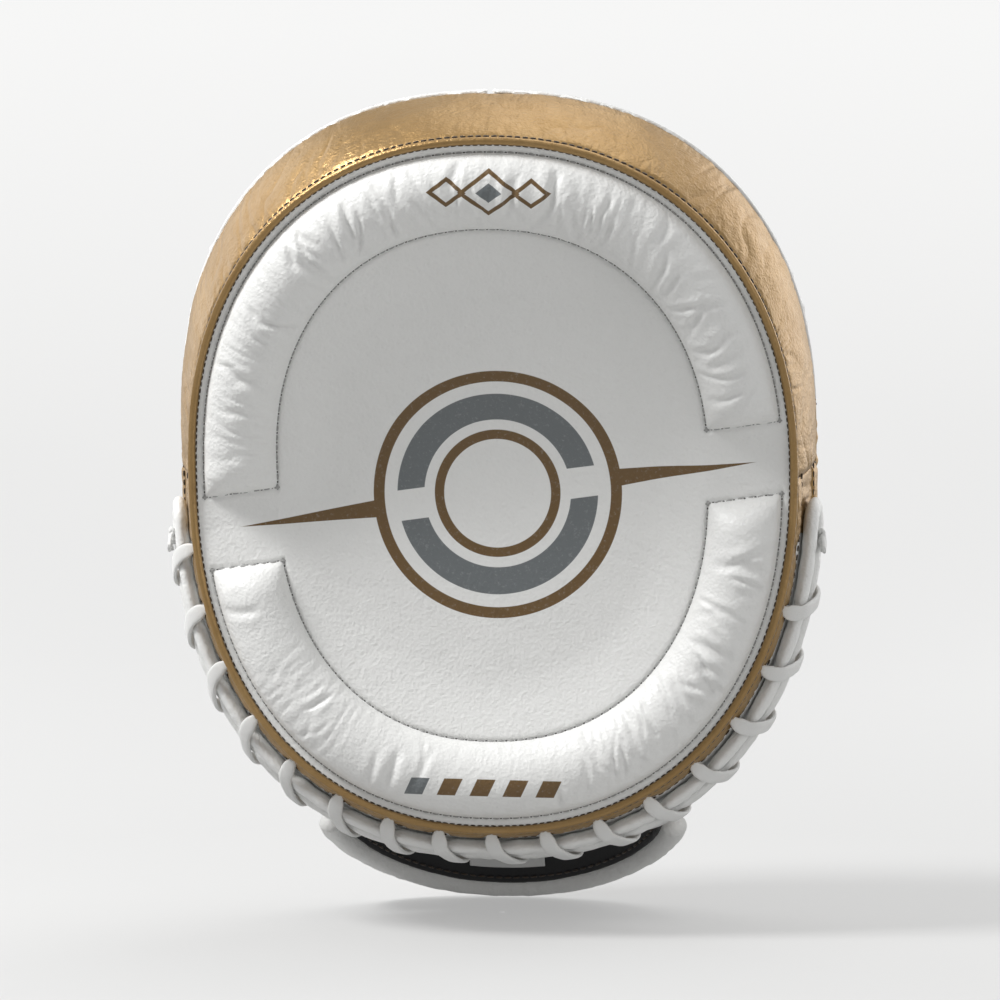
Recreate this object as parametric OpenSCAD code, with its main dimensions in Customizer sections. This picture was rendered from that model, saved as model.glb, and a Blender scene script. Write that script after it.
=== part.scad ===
// Lace-up focus mitt: a bent, egg-shaped striking pad with a finger hood, a
// back-of-hand panel, a thumb sleeve, a ring-and-flap wrist strap and a cuff.
// Millimetres. +Z runs up the hand to the fingertips, -Y is the striking side,
// and the origin is the middle of the wrist opening, at the strap's mid height.

/* [Pad] */
// Half the width of the pad at its back edge
back_half_w = 103.5; // [98:0.5:108]
// Length of the back edge above the bend line, along the pad
back_up = 117.5; // [110:0.5:124]
// Length of the back edge below the bend line
back_down = 122; // [116:0.5:128]
// Half the width of the striking face
face_half_w = 96; // [90:0.5:98]
// Length of the striking face above the bend line
face_up = 110.5; // [104:0.5:112]
// Length of the striking face below the bend line
face_down = 112; // [106:0.5:114]
// Distance from the face edge to the back edge
pad_depth = 33; // [30:0.5:36]
// How far the upper half leans towards the striking side
bend_angle = 19; // [12:1:22]
// Height of the padded rolls above the face edge
roll_height = 9; // [5:0.5:11]
// Width of each padded roll
roll_w = 25; // [20:0.5:28]
// Tilt of the gap between the two rolls
gap_tilt = 7.5; // [0:0.5:10]

/* [Hood] */
// Distance from the pad's back to the hood's highest point
hood_rise = 50; // [44:1:52]
// Length of the hood's ridge that is the trim band
band_w = 21; // [16:1:24]

/* [Wrist] */
// Height of the strap, across its width
strap_w = 61; // [56:1:64]
// Half the width of the strap's tunnel
tunnel_half_w = 52.5; // [51:0.5:54]
// Depth of the wrist opening, from the pad's back to the strap
tunnel_depth = 47; // [45:0.5:49]
// Distance from the bend line down to the middle of the strap
wrist_drop = 68; // [66:0.5:70]

/* [Laces] */
// Number of times that the lace crosses the slit
lace_passes = 16; // [12:1:17]
// Width of the flat lace
lace_w = 5; // [4:0.5:5.5]

/* [Hidden] */

white = "whitesmoke";
gold = "darkgoldenrod";
black = "#1c1c20";
foam = "#d8d4c4";

leather = 1.6;             // thickness of the cover leather
skin_gap = 0.5;            // clearance between layers that lie on each other
face_n = 2.2;              // superellipse power of the face outline
back_n = 2.35;             // superellipse power of the back outline
bend_zone = 18;            // half the length over which the pad bends
bend_radius = 2*bend_zone*180/(PI*bend_angle);
face_y = -pad_depth - tunnel_depth/2;  // striking plane of the lower half
bend_z = wrist_drop;       // height of the bend line
tip_angle = 86;            // last outline angle before an outline's end collapses

// ---------- helpers ----------

function clamp(x, lo, hi) = min(max(x, lo), hi);
function lerp(a, b, t) = a + (b - a)*t;
function unit(v) = v/norm(v);
function power(x, p) = sign(x)*pow(abs(x), p);
function smooth(t) = let (c = clamp(t, 0, 1)) c*c*(3 - 2*c);

// Twice the signed volume under a triangle, summed to find a mesh's sense.
function six_volume(pts, faces, i = 0, total = 0) =
    i == len(faces) ? total
    : six_volume(pts, faces, i + 1, total + cross(pts[faces[i][0]], pts[faces[i][1]])*pts[faces[i][2]]);

// A closed polyhedron whose faces are turned outwards, whichever way they were listed.
module solid(pts, faces) {
    turned = six_volume(pts, faces) > 0 ? [for (f = faces) [f[2], f[1], f[0]]] : faces;
    polyhedron(pts, turned, convexity = 8);
}

// A sheet with thickness: front and back are functions of s and t, each 0 to 1.
// open(i, j) is true for a cell that is left out, as an eyelet through the sheet.
module sheet(front, back, ns, nt, open = function (i, j) false) {
    n = (ns + 1)*(nt + 1);
    side = function (f) [for (j = [0:nt]) for (i = [0:ns]) f(i/ns, j/nt)];
    at = function (i, j) j*(ns + 1) + i;
    shut = function (i, j) i >= 0 && j >= 0 && i < ns && j < nt && !open(i, j);
    kept = [for (j = [0:nt - 1]) for (i = [0:ns - 1]) if (shut(i, j)) [i, j]];
    cells = [for (c = kept) let (i = c[0], j = c[1])
        [at(i, j), at(i + 1, j), at(i + 1, j + 1), at(i, j + 1)]];
    border = [for (c = kept) let (i = c[0], j = c[1]) each [
        if (!shut(i, j - 1)) [at(i, j), at(i + 1, j)],
        if (!shut(i + 1, j)) [at(i + 1, j), at(i + 1, j + 1)],
        if (!shut(i, j + 1)) [at(i + 1, j + 1), at(i, j + 1)],
        if (!shut(i - 1, j)) [at(i, j + 1), at(i, j)]]];
    faces = concat([for (c = cells) [c[0], c[1], c[2]]],
                   [for (c = cells) [c[0], c[2], c[3]]],
                   [for (c = cells) [c[2] + n, c[1] + n, c[0] + n]],
                   [for (c = cells) [c[3] + n, c[2] + n, c[0] + n]],
                   [for (e = border) [e[1], e[0], e[0] + n]],
                   [for (e = border) [e[1], e[0] + n, e[1] + n]]);
    solid(concat(side(front), side(back)), faces);
}

// A bar along a path. across gives the section's width direction at each point.
module sweep(path, across, section, closed = false) {
    m = len(section);
    count = len(path);
    last = closed ? count - 1 : count - 2;
    tangent = function (i) closed
        ? unit(path[(i + 1) % count] - path[(i + count - 1) % count])
        : unit(path[min(i + 1, count - 1)] - path[max(i - 1, 0)]);
    pts = [for (i = [0:count - 1])
        let (w = unit(across[i] - (across[i]*tangent(i))*tangent(i)), h = cross(tangent(i), w))
        for (q = section) path[i] + q[0]*w + q[1]*h];
    walls = [for (i = [0:last]) for (k = [0:m - 1])
        let (a = i*m + k, b = i*m + (k + 1) % m, c = ((i + 1) % count)*m + (k + 1) % m,
             d = ((i + 1) % count)*m + k)
        each [[a, b, c], [a, c, d]]];
    first_cap = [for (k = [1:m - 2]) [0, k + 1, k]];
    end = (count - 1)*m;
    end_cap = [for (k = [1:m - 2]) [end, end + k, end + k + 1]];
    solid(pts, closed ? walls : concat(walls, first_cap, end_cap));
}

function round_section(r, n = 6, flat = 1) = [for (k = [0:n - 1]) r*[cos(360*k/n), flat*sin(360*k/n)]];

// ---------- the bent pad ----------

// The pad's side profile: tilt and place of its face at length v along the pad.
function tilt(v) = bend_angle*clamp((v + bend_zone)/(2*bend_zone), 0, 1);
function spine(v) =
    let (a = tilt(v), bent = [-bend_radius*(1 - cos(a)), bend_radius*sin(a) - bend_zone])
    v < -bend_zone ? [0, v]
    : v < bend_zone ? bent
    : bent + (v - bend_zone)*[-sin(a), cos(a)];

// A point u across the pad, v along it and d behind its face.
function place(u, v, d) =
    let (a = tilt(v), p = spine(v)) [u, face_y + p[0] + d*cos(a), bend_z + p[1] + d*sin(a)];

// The outline at depth d, angle a from the +X side, moved inwards by inset.
function outline(a, d, inset = 0) =
    let (k = d/pad_depth, w = lerp(face_half_w, back_half_w, k) - inset,
         up = lerp(face_up, back_up, k) - inset, down = lerp(face_down, back_down, k) - inset,
         n = lerp(face_n, back_n, k), r = pow(pow(abs(cos(a)), n) + pow(abs(sin(a)), n), -1/n))
    [w*r*cos(a), (sin(a) < 0 ? down : up)*r*sin(a)];
function rim(a, d, inset = 0) = let (q = outline(a, d, inset)) place(q[0], q[1], d);

// A point across the pad's width at outline angle a, s from 0 at -X to 1 at +X.
function across_pad(s, a, d, inset) = let (q = outline(a, d, inset)) [q[0]*(2*s - 1), q[1]];

// Egg-shaped layer from depth d0 to d1.
module slab(d0, d1, inset) {
    layer = function (d) function (s, t)
        let (q = across_pad(s, lerp(-tip_angle, tip_angle, t), d, inset)) place(q[0], q[1], d);
    sheet(layer(d0), layer(d1), 1, 24);
}

// How far the cover stands in front of the face edge: two rolls round a shallow dish.
dish_depth = 3;
edge_flat = 5;             // flat margin outside each roll, where the cover is sewn
gap_half = 10.5;           // half the gap between the two rolls' ends
function edge_distance(u, v) =
    let (h = v < 0 ? face_down : face_up,
         r = pow(pow(abs(u)/face_half_w, face_n) + pow(abs(v)/h, face_n), 1/face_n))
    (1 - r)*lerp(face_half_w, h, clamp(abs(v)/h, 0, 1));
function roll_shape(u, v) =
    let (across = clamp((edge_distance(u, v) - edge_flat)/roll_w, 0, 1),
         from_gap = abs(v - u*tan(gap_tilt)) - gap_half)
    sin(180*across)*smooth(from_gap/5);
function relief(u, v) =
    roll_height*roll_shape(u, v) - dish_depth*smooth((edge_distance(u, v) - roll_w)/20);

module strike_cover() {
    skin = function (depth) function (s, t)
        let (q = across_pad(s, lerp(-tip_angle, tip_angle, t), 0, leather + 0.8))
        place(q[0], q[1], depth - relief(q[0], q[1]));
    color(white) sheet(skin(0), skin(leather), 20, 24);
}

// A horseshoe of foam that fills one roll, from outline angle a0 to a1.
module roll_foam(a0, a1) {
    inner = edge_flat + roll_w - 3;
    outer = edge_flat + 3;
    floor_d = leather + skin_gap;
    ring_point = function (s, t, raised)
        let (q = outline(lerp(a0, a1, t), 0, lerp(outer, inner, s)))
        place(q[0], q[1], floor_d + 1 - (raised ? max(roll_height*roll_shape(q[0], q[1]) - 1, 0.2) : -0.4));
    color(foam)
        sheet(function (s, t) ring_point(s, t, true), function (s, t) ring_point(s, t, false), 4, 22);
}
module upper_roll_foam() roll_foam(14.5 + gap_tilt, 163.5 + gap_tilt);
module lower_roll_foam() roll_foam(194.5 + gap_tilt, 343.5 + gap_tilt);

foam_inset = 9;            // leaves room for the lace inside the gusset
module impact_foam() color("khaki") slab(dish_depth + leather + 1.5, 14, foam_inset);
module shock_foam() color(foam) slab(14 + skin_gap, 21, foam_inset);
module backing_board() color("dimgray") slab(21 + skin_gap, 23.5, foam_inset);
module palm_foam() color(foam) slab(24, 30, foam_inset);
module back_panel() color(white) slab(pad_depth - leather - skin_gap, pad_depth - skin_gap, leather + 1.2);

// Welt round the edge of the face.
module face_piping() {
    count = 56;
    angles = [for (i = [0:count - 1]) 360*(i + 0.5)/count];
    color(gold)
        sweep([for (a = angles) rim(a, -1.4, 0.9)], [for (a = angles) [0, 1, 0]],
              round_section(1.2), closed = true);
}

// A band of the pad's side wall between two outline angles and two depths.
module side_band(a0, a1, d0, d1, thickness, columns, bulge = 0) {
    wall = function (inset) function (s, t)
        rim(lerp(a0, a1, t), lerp(d0, d1, s), inset - bulge*sin(180*s));
    sheet(wall(0), wall(thickness), 3, columns);
}
module upper_gusset() color(gold) side_band(0.3, 179.7, 0.3, pad_depth, leather, 30);

slit_front = 8;            // depths of the lacing slit's two edges
slit_back = 26;
lace_start = 191;          // outline angles of the first and the last crossing
lace_end = 349;
lace_t = 1.2;
lace_step = (lace_end - lace_start)/lace_passes;
eyelet_half = 2;           // half an eyelet's width, as an outline angle
eyelet_front = [4.4, 6.8]; // depths that the front and the back eyelets cover
eyelet_back = [27.6, 30];
front_eyelets = [for (k = [0:lace_passes]) lace_start + k*lace_step];
back_eyelets = [for (k = [0:lace_passes - 1]) lace_start + (k + 0.46)*lace_step];

// One lower gusset strip from depth d0 to d1, with a row of eyelets.
module laced_strip(d0, d1, eyelets, rows) {
    angles = concat([180.3, 184.5], [for (a = eyelets) each [a - eyelet_half, a + eyelet_half]],
                    [355.5, 359.7]);
    depths = [d0, rows[0], rows[1], d1];
    columns = len(angles) - 1;
    wall = function (inset) function (s, t)
        rim(angles[round(t*columns)], depths[round(3*s)], inset - (s > 0.1 && s < 0.9 ? 0.5 : 0));
    color(gold)
        sheet(wall(0), wall(leather), 3, columns,
              function (i, j) i == 1 && j % 2 == 0 && j > 1 && j < columns - 2);
}
module lower_gusset_front() laced_strip(0.3, slit_front, front_eyelets, eyelet_front);
module lower_gusset_back() laced_strip(slit_back, pad_depth, back_eyelets, eyelet_back);

// Tongue behind the slit, with the two padded welts that the lace holds down.
module lace_tongue()
    color(white) side_band(185.6, 354.4, slit_front + 0.5, slit_back - 0.5, 1.2, 36);

welt_r = 3.6;
welt_flat = 0.6;
module tongue_welts()
    for (d = [slit_front + 1 + welt_r, slit_back - 1 - welt_r]) {
        angles = [for (i = [0:36]) lerp(187, 353, i/36)];
        color(white)
            sweep([for (a = angles) rim(a, d, -welt_r*welt_flat - 0.5)], [for (a = angles) [0, 1, 0]],
                  round_section(welt_r, 8, welt_flat));
    }

// One flat lace wound out over the welts and back inside the gusset, once for each crossing.
module lace() {
    over = -2*welt_r*welt_flat - 1.8;
    front = (eyelet_front[0] + eyelet_front[1])/2;
    back = (eyelet_back[0] + eyelet_back[1])/2;
    under = leather + 1.4;
    // each stop is [share of a step, depth, inset]
    stops = [[0, front, under - 0.4], [0, front, -1.7], [0.06, front + 2.6, over + 1], [0.14, front + 5, over],
             [0.33, back - 5, over], [0.40, back - 2.6, over + 1], [0.46, back, -1.7],
             [0.46, back, under - 0.4], [0.54, back - 2.5, under + 1], [0.92, front + 2.5, under + 1]];
    turns = [for (k = [0:lace_passes - 1]) for (q = stops) [lace_start + lace_step*(k + q[0]), q[1], q[2]]];
    color(white)
        sweep([for (q = turns) rim(q[0], q[1], q[2])],
              [for (q = turns) rim(q[0] + 1, q[1], q[2]) - rim(q[0] - 1, q[1], q[2])],
              [[lace_w/2, lace_t/2], [-lace_w/2, lace_t/2], [-lace_w/2, -lace_t/2], [lace_w/2, -lace_t/2]]);
}

// Stopper knots above the first crossing on each side.
module lace_knots()
    for (a = [188.3, 351.7])
        color(white)
            translate(rim(a, (slit_front + slit_back)/2, -2*welt_r*welt_flat - 2.4)) sphere(r = 2.4, $fn = 32);

// ---------- hand side ----------

back_y = face_y + pad_depth;   // back plane of the lower half
on_back = back_y + 0.3;        // where parts sewn on the back start

// Padded cushion under the heel of the hand, below the strap.
heel_rise = 10;
heel_angle = -56;          // outline angle of its top edge
module heel_pad() {
    at = function (rise) function (s, t)
        let (q = across_pad(s, lerp(-tip_angle, heel_angle, t), pad_depth, 5))
        [q[0], on_back + 0.4 + rise*pow(sin(180*s), 0.7)*pow(sin(180*t), 0.7), bend_z + q[1]];
    base = function (s, t) let (p = at(0)(s, t)) [p[0], on_back, p[2]];
    color(white) sheet(at(heel_rise), base, 10, 6);
}

ball_r = 26;               // footprint of the dome that the palm grips
ball_rise = 9;
ball_sphere = (ball_r*ball_r + ball_rise*ball_rise)/(2*ball_rise);
ball_z = bend_z - 32;
module palm_ball()
    color(white)
        translate([0, on_back, ball_z])
            rotate([-90, 0, 0])
                intersection() {
                    translate([0, 0, ball_rise - ball_sphere]) sphere(r = ball_sphere, $fn = 64);
                    cylinder(r = ball_r, h = ball_rise + 1, $fn = 64);
                }

// The hood: arches that stand on the pad's back edge and lean up to a straight ridge.
rim_angle = -5.2;          // outline angle where the rim meets the pad
hood_power = 2.3;
hood_top = 0.955;          // share of the seam's length where the shell stops
band_t = 0.135;            // share of the seam's length that the trim band covers
rim_apex = [back_y + hood_rise, bend_z + 16];
band_apex = rim_apex + [-8, band_w];
hood_tip = let (p = rim(90, pad_depth)) [p[1], p[2]];
function ridge(t) = t < band_t
    ? lerp(rim_apex, band_apex, t/band_t)
    : lerp(band_apex, hood_tip, (t - band_t)/(1 - band_t));
function hood(s, t, inset) =
    let (foot = rim(lerp(rim_angle, 90, t), pad_depth + 0.4),
         apex = ridge(t), lean = [apex[0] - foot[1], apex[1] - foot[2]],
         rise = (norm(lean) - inset)/norm(lean),
         p = 2/hood_power, w = foot[0] - inset)
    [w*power(cos(180*s), p), foot[1] + lean[0]*rise*power(sin(180*s), p),
     foot[2] + lean[1]*rise*power(sin(180*s), p)];
module hood_shell(t0, t1, inset, thickness, rows)
    sheet(function (s, t) hood(lerp(0.004, 0.996, s), lerp(t0, t1, t), inset),
          function (s, t) hood(lerp(0.004, 0.996, s), lerp(t0, t1, t), inset + thickness), 18, rows);
module finger_hood() color(white) hood_shell(band_t + 0.004, hood_top, 0, leather, 9);
module hood_lining() color("gainsboro") hood_shell(0.024, hood_top - 0.16, leather + 1.2, 1.5, 9);
module hood_band() color(gold) hood_shell(0.018, band_t - 0.004, 0, leather, 2);
module hood_binding() {
    stops = [for (i = [0:24]) lerp(0.035, 0.965, i/24)];
    color(white)
        sweep([for (s = stops) hood(s, -0.002, 1.8)],
              [for (s = stops) hood(s, 0.05, 1.8) - hood(s, 0, 1.8)], round_section(2.5, 8));
}

// Back-of-hand panel, an arc in plan from under the hood to the strap's lower edge.
dorsal_half_w = 33;
dorsal_edge_y = back_y + 27;
dorsal_sagitta = 13.5;
dorsal_top = bend_z + 20;
dorsal_bottom = -strap_w/2 - 0.6;
function dorsal(s, t, inset) =
    let (r = (dorsal_half_w*dorsal_half_w + dorsal_sagitta*dorsal_sagitta)/(2*dorsal_sagitta),
         a = asin(dorsal_half_w/r)*(1 - 2*s))
    [(r - inset)*sin(a), dorsal_edge_y + dorsal_sagitta - r + (r - inset)*cos(a),
     lerp(dorsal_bottom, dorsal_top, t)];
module dorsal_layer(inset, thickness)
    sheet(function (s, t) dorsal(s, t, inset), function (s, t) dorsal(s, t, inset + thickness), 10, 1);
module dorsal_panel() color(gold) dorsal_layer(0, 1.4);
module dorsal_foam() color(foam) dorsal_layer(1.7, 2);
module dorsal_lining() color("gainsboro") dorsal_layer(4, 1);

// Soft walls between the pad's back and the back-of-hand panel.
module side_wall(side, far_y, top, bottom, foot_x, head_x) {
    wall = function (offset) function (s, t)
        [side*(lerp(foot_x, head_x, s) + 2.5*sin(180*s) + offset), lerp(on_back + 2, far_y, s),
         lerp(bottom, top, t)];
    color(white) sheet(wall(0), wall(-1.4), 5, 1);
}
module side_wall_near()
    side_wall(1, back_y + 10.2, bend_z - 6, strap_w/2 + 4, tunnel_half_w - 4, tunnel_half_w - 8);
module side_wall_far()
    side_wall(-1, dorsal_edge_y - 2, dorsal_top - 14, -strap_w/2, tunnel_half_w - 5, dorsal_half_w + 2.5);

// Sleeve for the thumb, open at the wrist end.
thumb_x = tunnel_half_w - 10.5;
thumb_y = back_y + 19.5;
thumb_z = strap_w/2 + 2.5;
thumb_len = 50;
module thumb_sleeve()
    color(white)
        translate([thumb_x, thumb_y, thumb_z])
            rotate_extrude($fn = 48)
                polygon([[7.2, 0], [8.8, 0], [8.8, thumb_len - 12], [6.5, thumb_len - 3], [0, thumb_len],
                         [0, thumb_len - 1.8], [5.4, thumb_len - 4.6], [7.2, thumb_len - 13]]);

// ---------- wrist strap, seen from above ----------

ring_bar_r = 2.4;
ring_x = tunnel_half_w;
ring_y = back_y + 24.5;        // inner bar, held by the anchor
ring_pitch = 14;
turn_y = ring_y + ring_pitch;  // outer bar, which the strap turns round
bar_clear = 0.05;
strap_t = 1.8;
edge_t = 2.2;                  // thickness of the bound edges
edge_w = 7;                    // how much of the strap's width each bound edge covers
flange_w = 16;
corner_r = 7.5;                // inside radius of the strap's near corner
far_r = 14;                    // and of its far corner
inner_x = ring_x - ring_bar_r - bar_clear - strap_t;
outer_x = ring_x + ring_bar_r + bar_clear;
inner_back = back_y + tunnel_depth;    // inside face of the ply that lies on the hand
tape_t = 1.1;
outer_back = inner_back + strap_t + 2*tape_t + 0.3;
flap_x = outer_x - corner_r;   // fold line where the free end peels open
flap_end_x = -34;              // tip of the free end

module band(height, z = 0) translate([0, 0, z - height/2]) linear_extrude(height) children();

// Quarter ring with its corner towards +X and +Y.
module quarter(r, t)
    intersection() {
        difference() { circle(r = r + t, $fn = 64); circle(r = r, $fn = 64); }
        square(r + t);
    }

module anchor_profile()
    difference() {
        union() {
            translate([ring_x - flange_w, on_back]) square([flange_w + 1.6, 1.8]);
            translate([ring_x - 1.6, on_back]) square([3.2, ring_y - on_back - 1]);
            translate([ring_x, ring_y]) circle(r = ring_bar_r + bar_clear + 1.6, $fn = 48);
        }
        translate([ring_x, ring_y]) circle(r = ring_bar_r + bar_clear, $fn = 48);
    }
module strap_anchor() color(gold) band(strap_w) anchor_profile();

module strap_ring() {
    half = strap_w/2 + 3.4;
    color(black)
        union() {
            for (y = [ring_y, turn_y]) {
                translate([ring_x, y, -half]) cylinder(r = ring_bar_r, h = 2*half, $fn = 48);
                for (z = [-half, half]) translate([ring_x, y, z]) sphere(r = ring_bar_r, $fn = 48);
            }
            for (z = [-half, half])
                translate([ring_x, ring_y, z]) rotate([-90, 0, 0])
                    cylinder(r = ring_bar_r, h = ring_pitch, $fn = 48);
        }
}

// The ply that lies on the hand: from a flange on the pad's far side to the ring.
module inner_ply(t) {
    far = t - tunnel_half_w + far_r;
    near = inner_x - corner_r;
    translate([-tunnel_half_w, on_back]) square([t, inner_back - far_r - on_back]);
    translate([-tunnel_half_w, on_back]) square([flange_w, 1.8]);
    translate([far, inner_back - far_r]) mirror([1, 0]) quarter(far_r, t);
    translate([far, inner_back]) square([near - far, t]);
    translate([near, inner_back - corner_r]) quarter(corner_r, t);
    translate([inner_x, turn_y + 0.3]) square([t, inner_back - corner_r - turn_y - 0.3]);
}
edge_z = strap_w/2 - edge_w/2;
module wrist_strap() color(white) band(strap_w - 2*edge_w - 0.4) inner_ply(strap_t);
module wrist_strap_edges() color(gold) for (z = [-edge_z, edge_z]) band(edge_w, z) inner_ply(strap_t);

module loop_tape()
    color(black)
        band(strap_w - 2*edge_w - 6)
            translate([-34, inner_back + strap_t + 0.1]) square([66, tape_t]);

// The ply that comes back round the ring's outer bar, up the near side and round the corner.
module return_ply(t) {
    translate([ring_x, turn_y])
        difference() {
            circle(r = ring_bar_r + bar_clear + t, $fn = 64);
            circle(r = ring_bar_r + bar_clear, $fn = 64);
            translate([-10, 0]) square([20, 10]);
        }
    translate([outer_x, turn_y - 0.01]) square([t, outer_back - corner_r - turn_y + 0.02]);
    translate([flap_x, outer_back - corner_r]) quarter(corner_r, t);
}
module strap_return() color(white) band(strap_w - 2*edge_w - 0.4) return_ply(strap_t);
module strap_return_edges() color(gold) for (z = [-edge_z, edge_z]) band(edge_w, z) return_ply(strap_t);

// The free end across the back of the wrist.
module flap_ply(t) translate([flap_end_x, outer_back]) square([flap_x - flap_end_x - 0.3, t]);
module strap_end() color(white) band(strap_w - 2*edge_w - 0.4) flap_ply(strap_t);
module strap_end_edges() color(gold) for (z = [-edge_z, edge_z]) band(edge_w, z) flap_ply(edge_t);
module hook_tape()
    color(black)
        band(strap_w - 2*edge_w - 6)
            translate([flap_end_x + 2, outer_back - tape_t - 0.1]) square([64, tape_t]);

badge_w = 48;
badge_h = 26;
badge_t = 1.8;
module badge()
    color(white)
        translate([2, outer_back + strap_t, 0]) rotate([-90, 0, 0])
            linear_extrude(badge_t) {
                square([badge_w - 8, badge_h], center = true);
                square([badge_w, badge_h - 8], center = true);
                for (x = [-1, 1], y = [-1, 1])
                    translate([x*(badge_w/2 - 4), y*(badge_h/2 - 4)]) circle(r = 4, $fn = 32);
            }

// ---------- cuff ----------

cuff_z = -strap_w/2 - 1.6;     // top edge of the cuff
cuff_out = 22;                 // how far the mouth's lowest point stands behind the root
cuff_drop = 41;                // how far the mouth's lowest point hangs below the root
root_half_w = 46;
root_y = back_y + 15;          // the root arch runs from here to root_depth behind it
root_depth = 22;
// a runs from -90 at the far wing to 90 at the near wing
function cuff_root(a) = [root_half_w*sin(a), root_y + root_depth*cos(a), cuff_z];
function cuff_mouth(a) =
    [60*sin(a), root_y + (root_depth + cuff_out)*cos(a), cuff_z - 14 - (cuff_drop - 14)*pow(cos(a), 1.2)];
// t runs from the root to the mouth; end is a distance kept free at the mouth, in millimetres
function cuff(a, t, inset, end = 0) =
    let (root = cuff_root(a), span = cuff_mouth(a) - root, reach = t*(1 - end/norm(span)))
    root + reach*span + (2.5*sin(180*t) - inset)*unit([sin(a), cos(a), 0.35]);
module cuff_part(a0, a1, t0, inset, thickness, columns, rows)
    sheet(function (s, t) cuff(lerp(a0, a1, s), lerp(t0, 1, t), inset, 4.6),
          function (s, t) cuff(lerp(a0, a1, s), lerp(t0, 1, t), inset + thickness, 4.6), columns, rows);
gore_angle = 48;               // where the middle panel meets the side gores
module cuff_panel() color(gold) cuff_part(-gore_angle, gore_angle, 0, 0, 1.4, 10, 5);
module cuff_gores()
    color(white)
        for (side = [-1, 1])
            cuff_part(side*(gore_angle + 0.6), side*82, 0, 0, 1.4, 6, 5);
module cuff_foam() color(foam) cuff_part(-80, 80, 0.05, 1.8, 2, 16, 4);
module cuff_lining() color(black) cuff_part(-80, 80, 0.05, 4.2, 1, 16, 4);
module cuff_binding() {
    angles = [for (i = [0:28]) lerp(-84, 84, i/28)];
    color(white)
        sweep([for (a = angles) cuff(a, 1, 2.4)],
              [for (a = angles) unit([sin(a), cos(a), 0.35])], round_section(3.5, 8));
}
module cuff_label() color(white) cuff_part(-14, 14, 0.35, 5.6, 0.5, 4, 2);

// ---------- assembly ----------

strike_cover();
upper_roll_foam();
lower_roll_foam();
impact_foam();
shock_foam();
backing_board();
palm_foam();
back_panel();
face_piping();
upper_gusset();
lower_gusset_front();
lower_gusset_back();
lace_tongue();
tongue_welts();
lace();
lace_knots();
heel_pad();
palm_ball();
finger_hood();
hood_lining();
hood_band();
hood_binding();
side_wall_near();
side_wall_far();
thumb_sleeve();
dorsal_panel();
dorsal_foam();
dorsal_lining();
strap_anchor();
strap_ring();
wrist_strap();
wrist_strap_edges();
loop_tape();
strap_return();
strap_return_edges();
strap_end();
strap_end_edges();
hook_tape();
badge();
cuff_panel();
cuff_gores();
cuff_foam();
cuff_lining();
cuff_binding();
cuff_label();
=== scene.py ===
"""Looks of the focus mitt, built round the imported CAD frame.

Lengths are in millimetres until a mesh is made. +Z runs up the hand and -Y is the striking side.
"""

import math

import bmesh
import bpy
import numpy as np
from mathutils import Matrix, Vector


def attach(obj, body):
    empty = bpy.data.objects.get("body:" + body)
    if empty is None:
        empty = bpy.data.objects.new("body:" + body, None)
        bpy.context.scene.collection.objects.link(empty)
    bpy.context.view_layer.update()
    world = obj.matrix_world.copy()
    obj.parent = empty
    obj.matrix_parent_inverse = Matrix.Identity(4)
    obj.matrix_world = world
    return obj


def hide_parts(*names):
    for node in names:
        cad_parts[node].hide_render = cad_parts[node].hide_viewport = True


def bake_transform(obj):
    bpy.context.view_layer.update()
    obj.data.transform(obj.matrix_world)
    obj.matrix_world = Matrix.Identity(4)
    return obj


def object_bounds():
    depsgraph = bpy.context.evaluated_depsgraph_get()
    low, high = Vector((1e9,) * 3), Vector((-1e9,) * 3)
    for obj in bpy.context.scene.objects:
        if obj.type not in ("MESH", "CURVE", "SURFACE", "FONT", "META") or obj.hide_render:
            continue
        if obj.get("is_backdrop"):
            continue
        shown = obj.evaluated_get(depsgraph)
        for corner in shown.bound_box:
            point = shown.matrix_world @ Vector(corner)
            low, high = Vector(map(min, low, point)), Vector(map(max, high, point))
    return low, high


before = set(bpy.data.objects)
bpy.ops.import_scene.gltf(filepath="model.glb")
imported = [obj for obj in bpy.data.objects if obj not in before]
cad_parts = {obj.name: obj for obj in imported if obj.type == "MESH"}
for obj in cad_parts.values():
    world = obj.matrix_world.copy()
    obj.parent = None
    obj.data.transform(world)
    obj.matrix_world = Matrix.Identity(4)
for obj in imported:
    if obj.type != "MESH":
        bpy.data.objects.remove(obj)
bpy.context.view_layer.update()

# ---------- dimensions, as in the CAD source ----------
FACE = dict(w=96.0, up=110.5, down=112.0, n=2.2)
BACK = dict(w=103.5, up=117.5, down=122.0, n=2.35)
DEPTH = 33.0
BEND = math.radians(19)
ZONE = 18.0
RADIUS = 2 * ZONE / BEND
TUNNEL = 47.0
FACE_Y = -DEPTH - TUNNEL / 2
BACK_Y = -TUNNEL / 2
BEND_Z = 68.0
HALF_STRAP = 30.5
TUNNEL_HALF = 52.5


# ---------- small maths ----------
def lerp(a, b, t):
    """Linear blend of a and b."""
    return a + (b - a) * t


def smooth(t):
    """Ease from 0 to 1, clipped outside."""
    t = np.clip(t, 0, 1)
    return t * t * (3 - 2 * t)


def unit(v):
    """Vectors scaled to length 1."""
    n = np.linalg.norm(v, axis=-1, keepdims=True)
    return v / np.maximum(n, 1e-12)


def hashed(i, j, seed):
    """A repeatable value from 0 to 1 for each whole-number cell."""
    h = (i.astype(np.int64) * 374761393 + j.astype(np.int64) * 668265263 + seed * 1274126177) & 0xFFFFFFFF
    h = ((h ^ (h >> 13)) * 1103515245) & 0xFFFFFFFF
    return ((h ^ (h >> 16)) & 0xFFFF) / 65535.0


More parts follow.
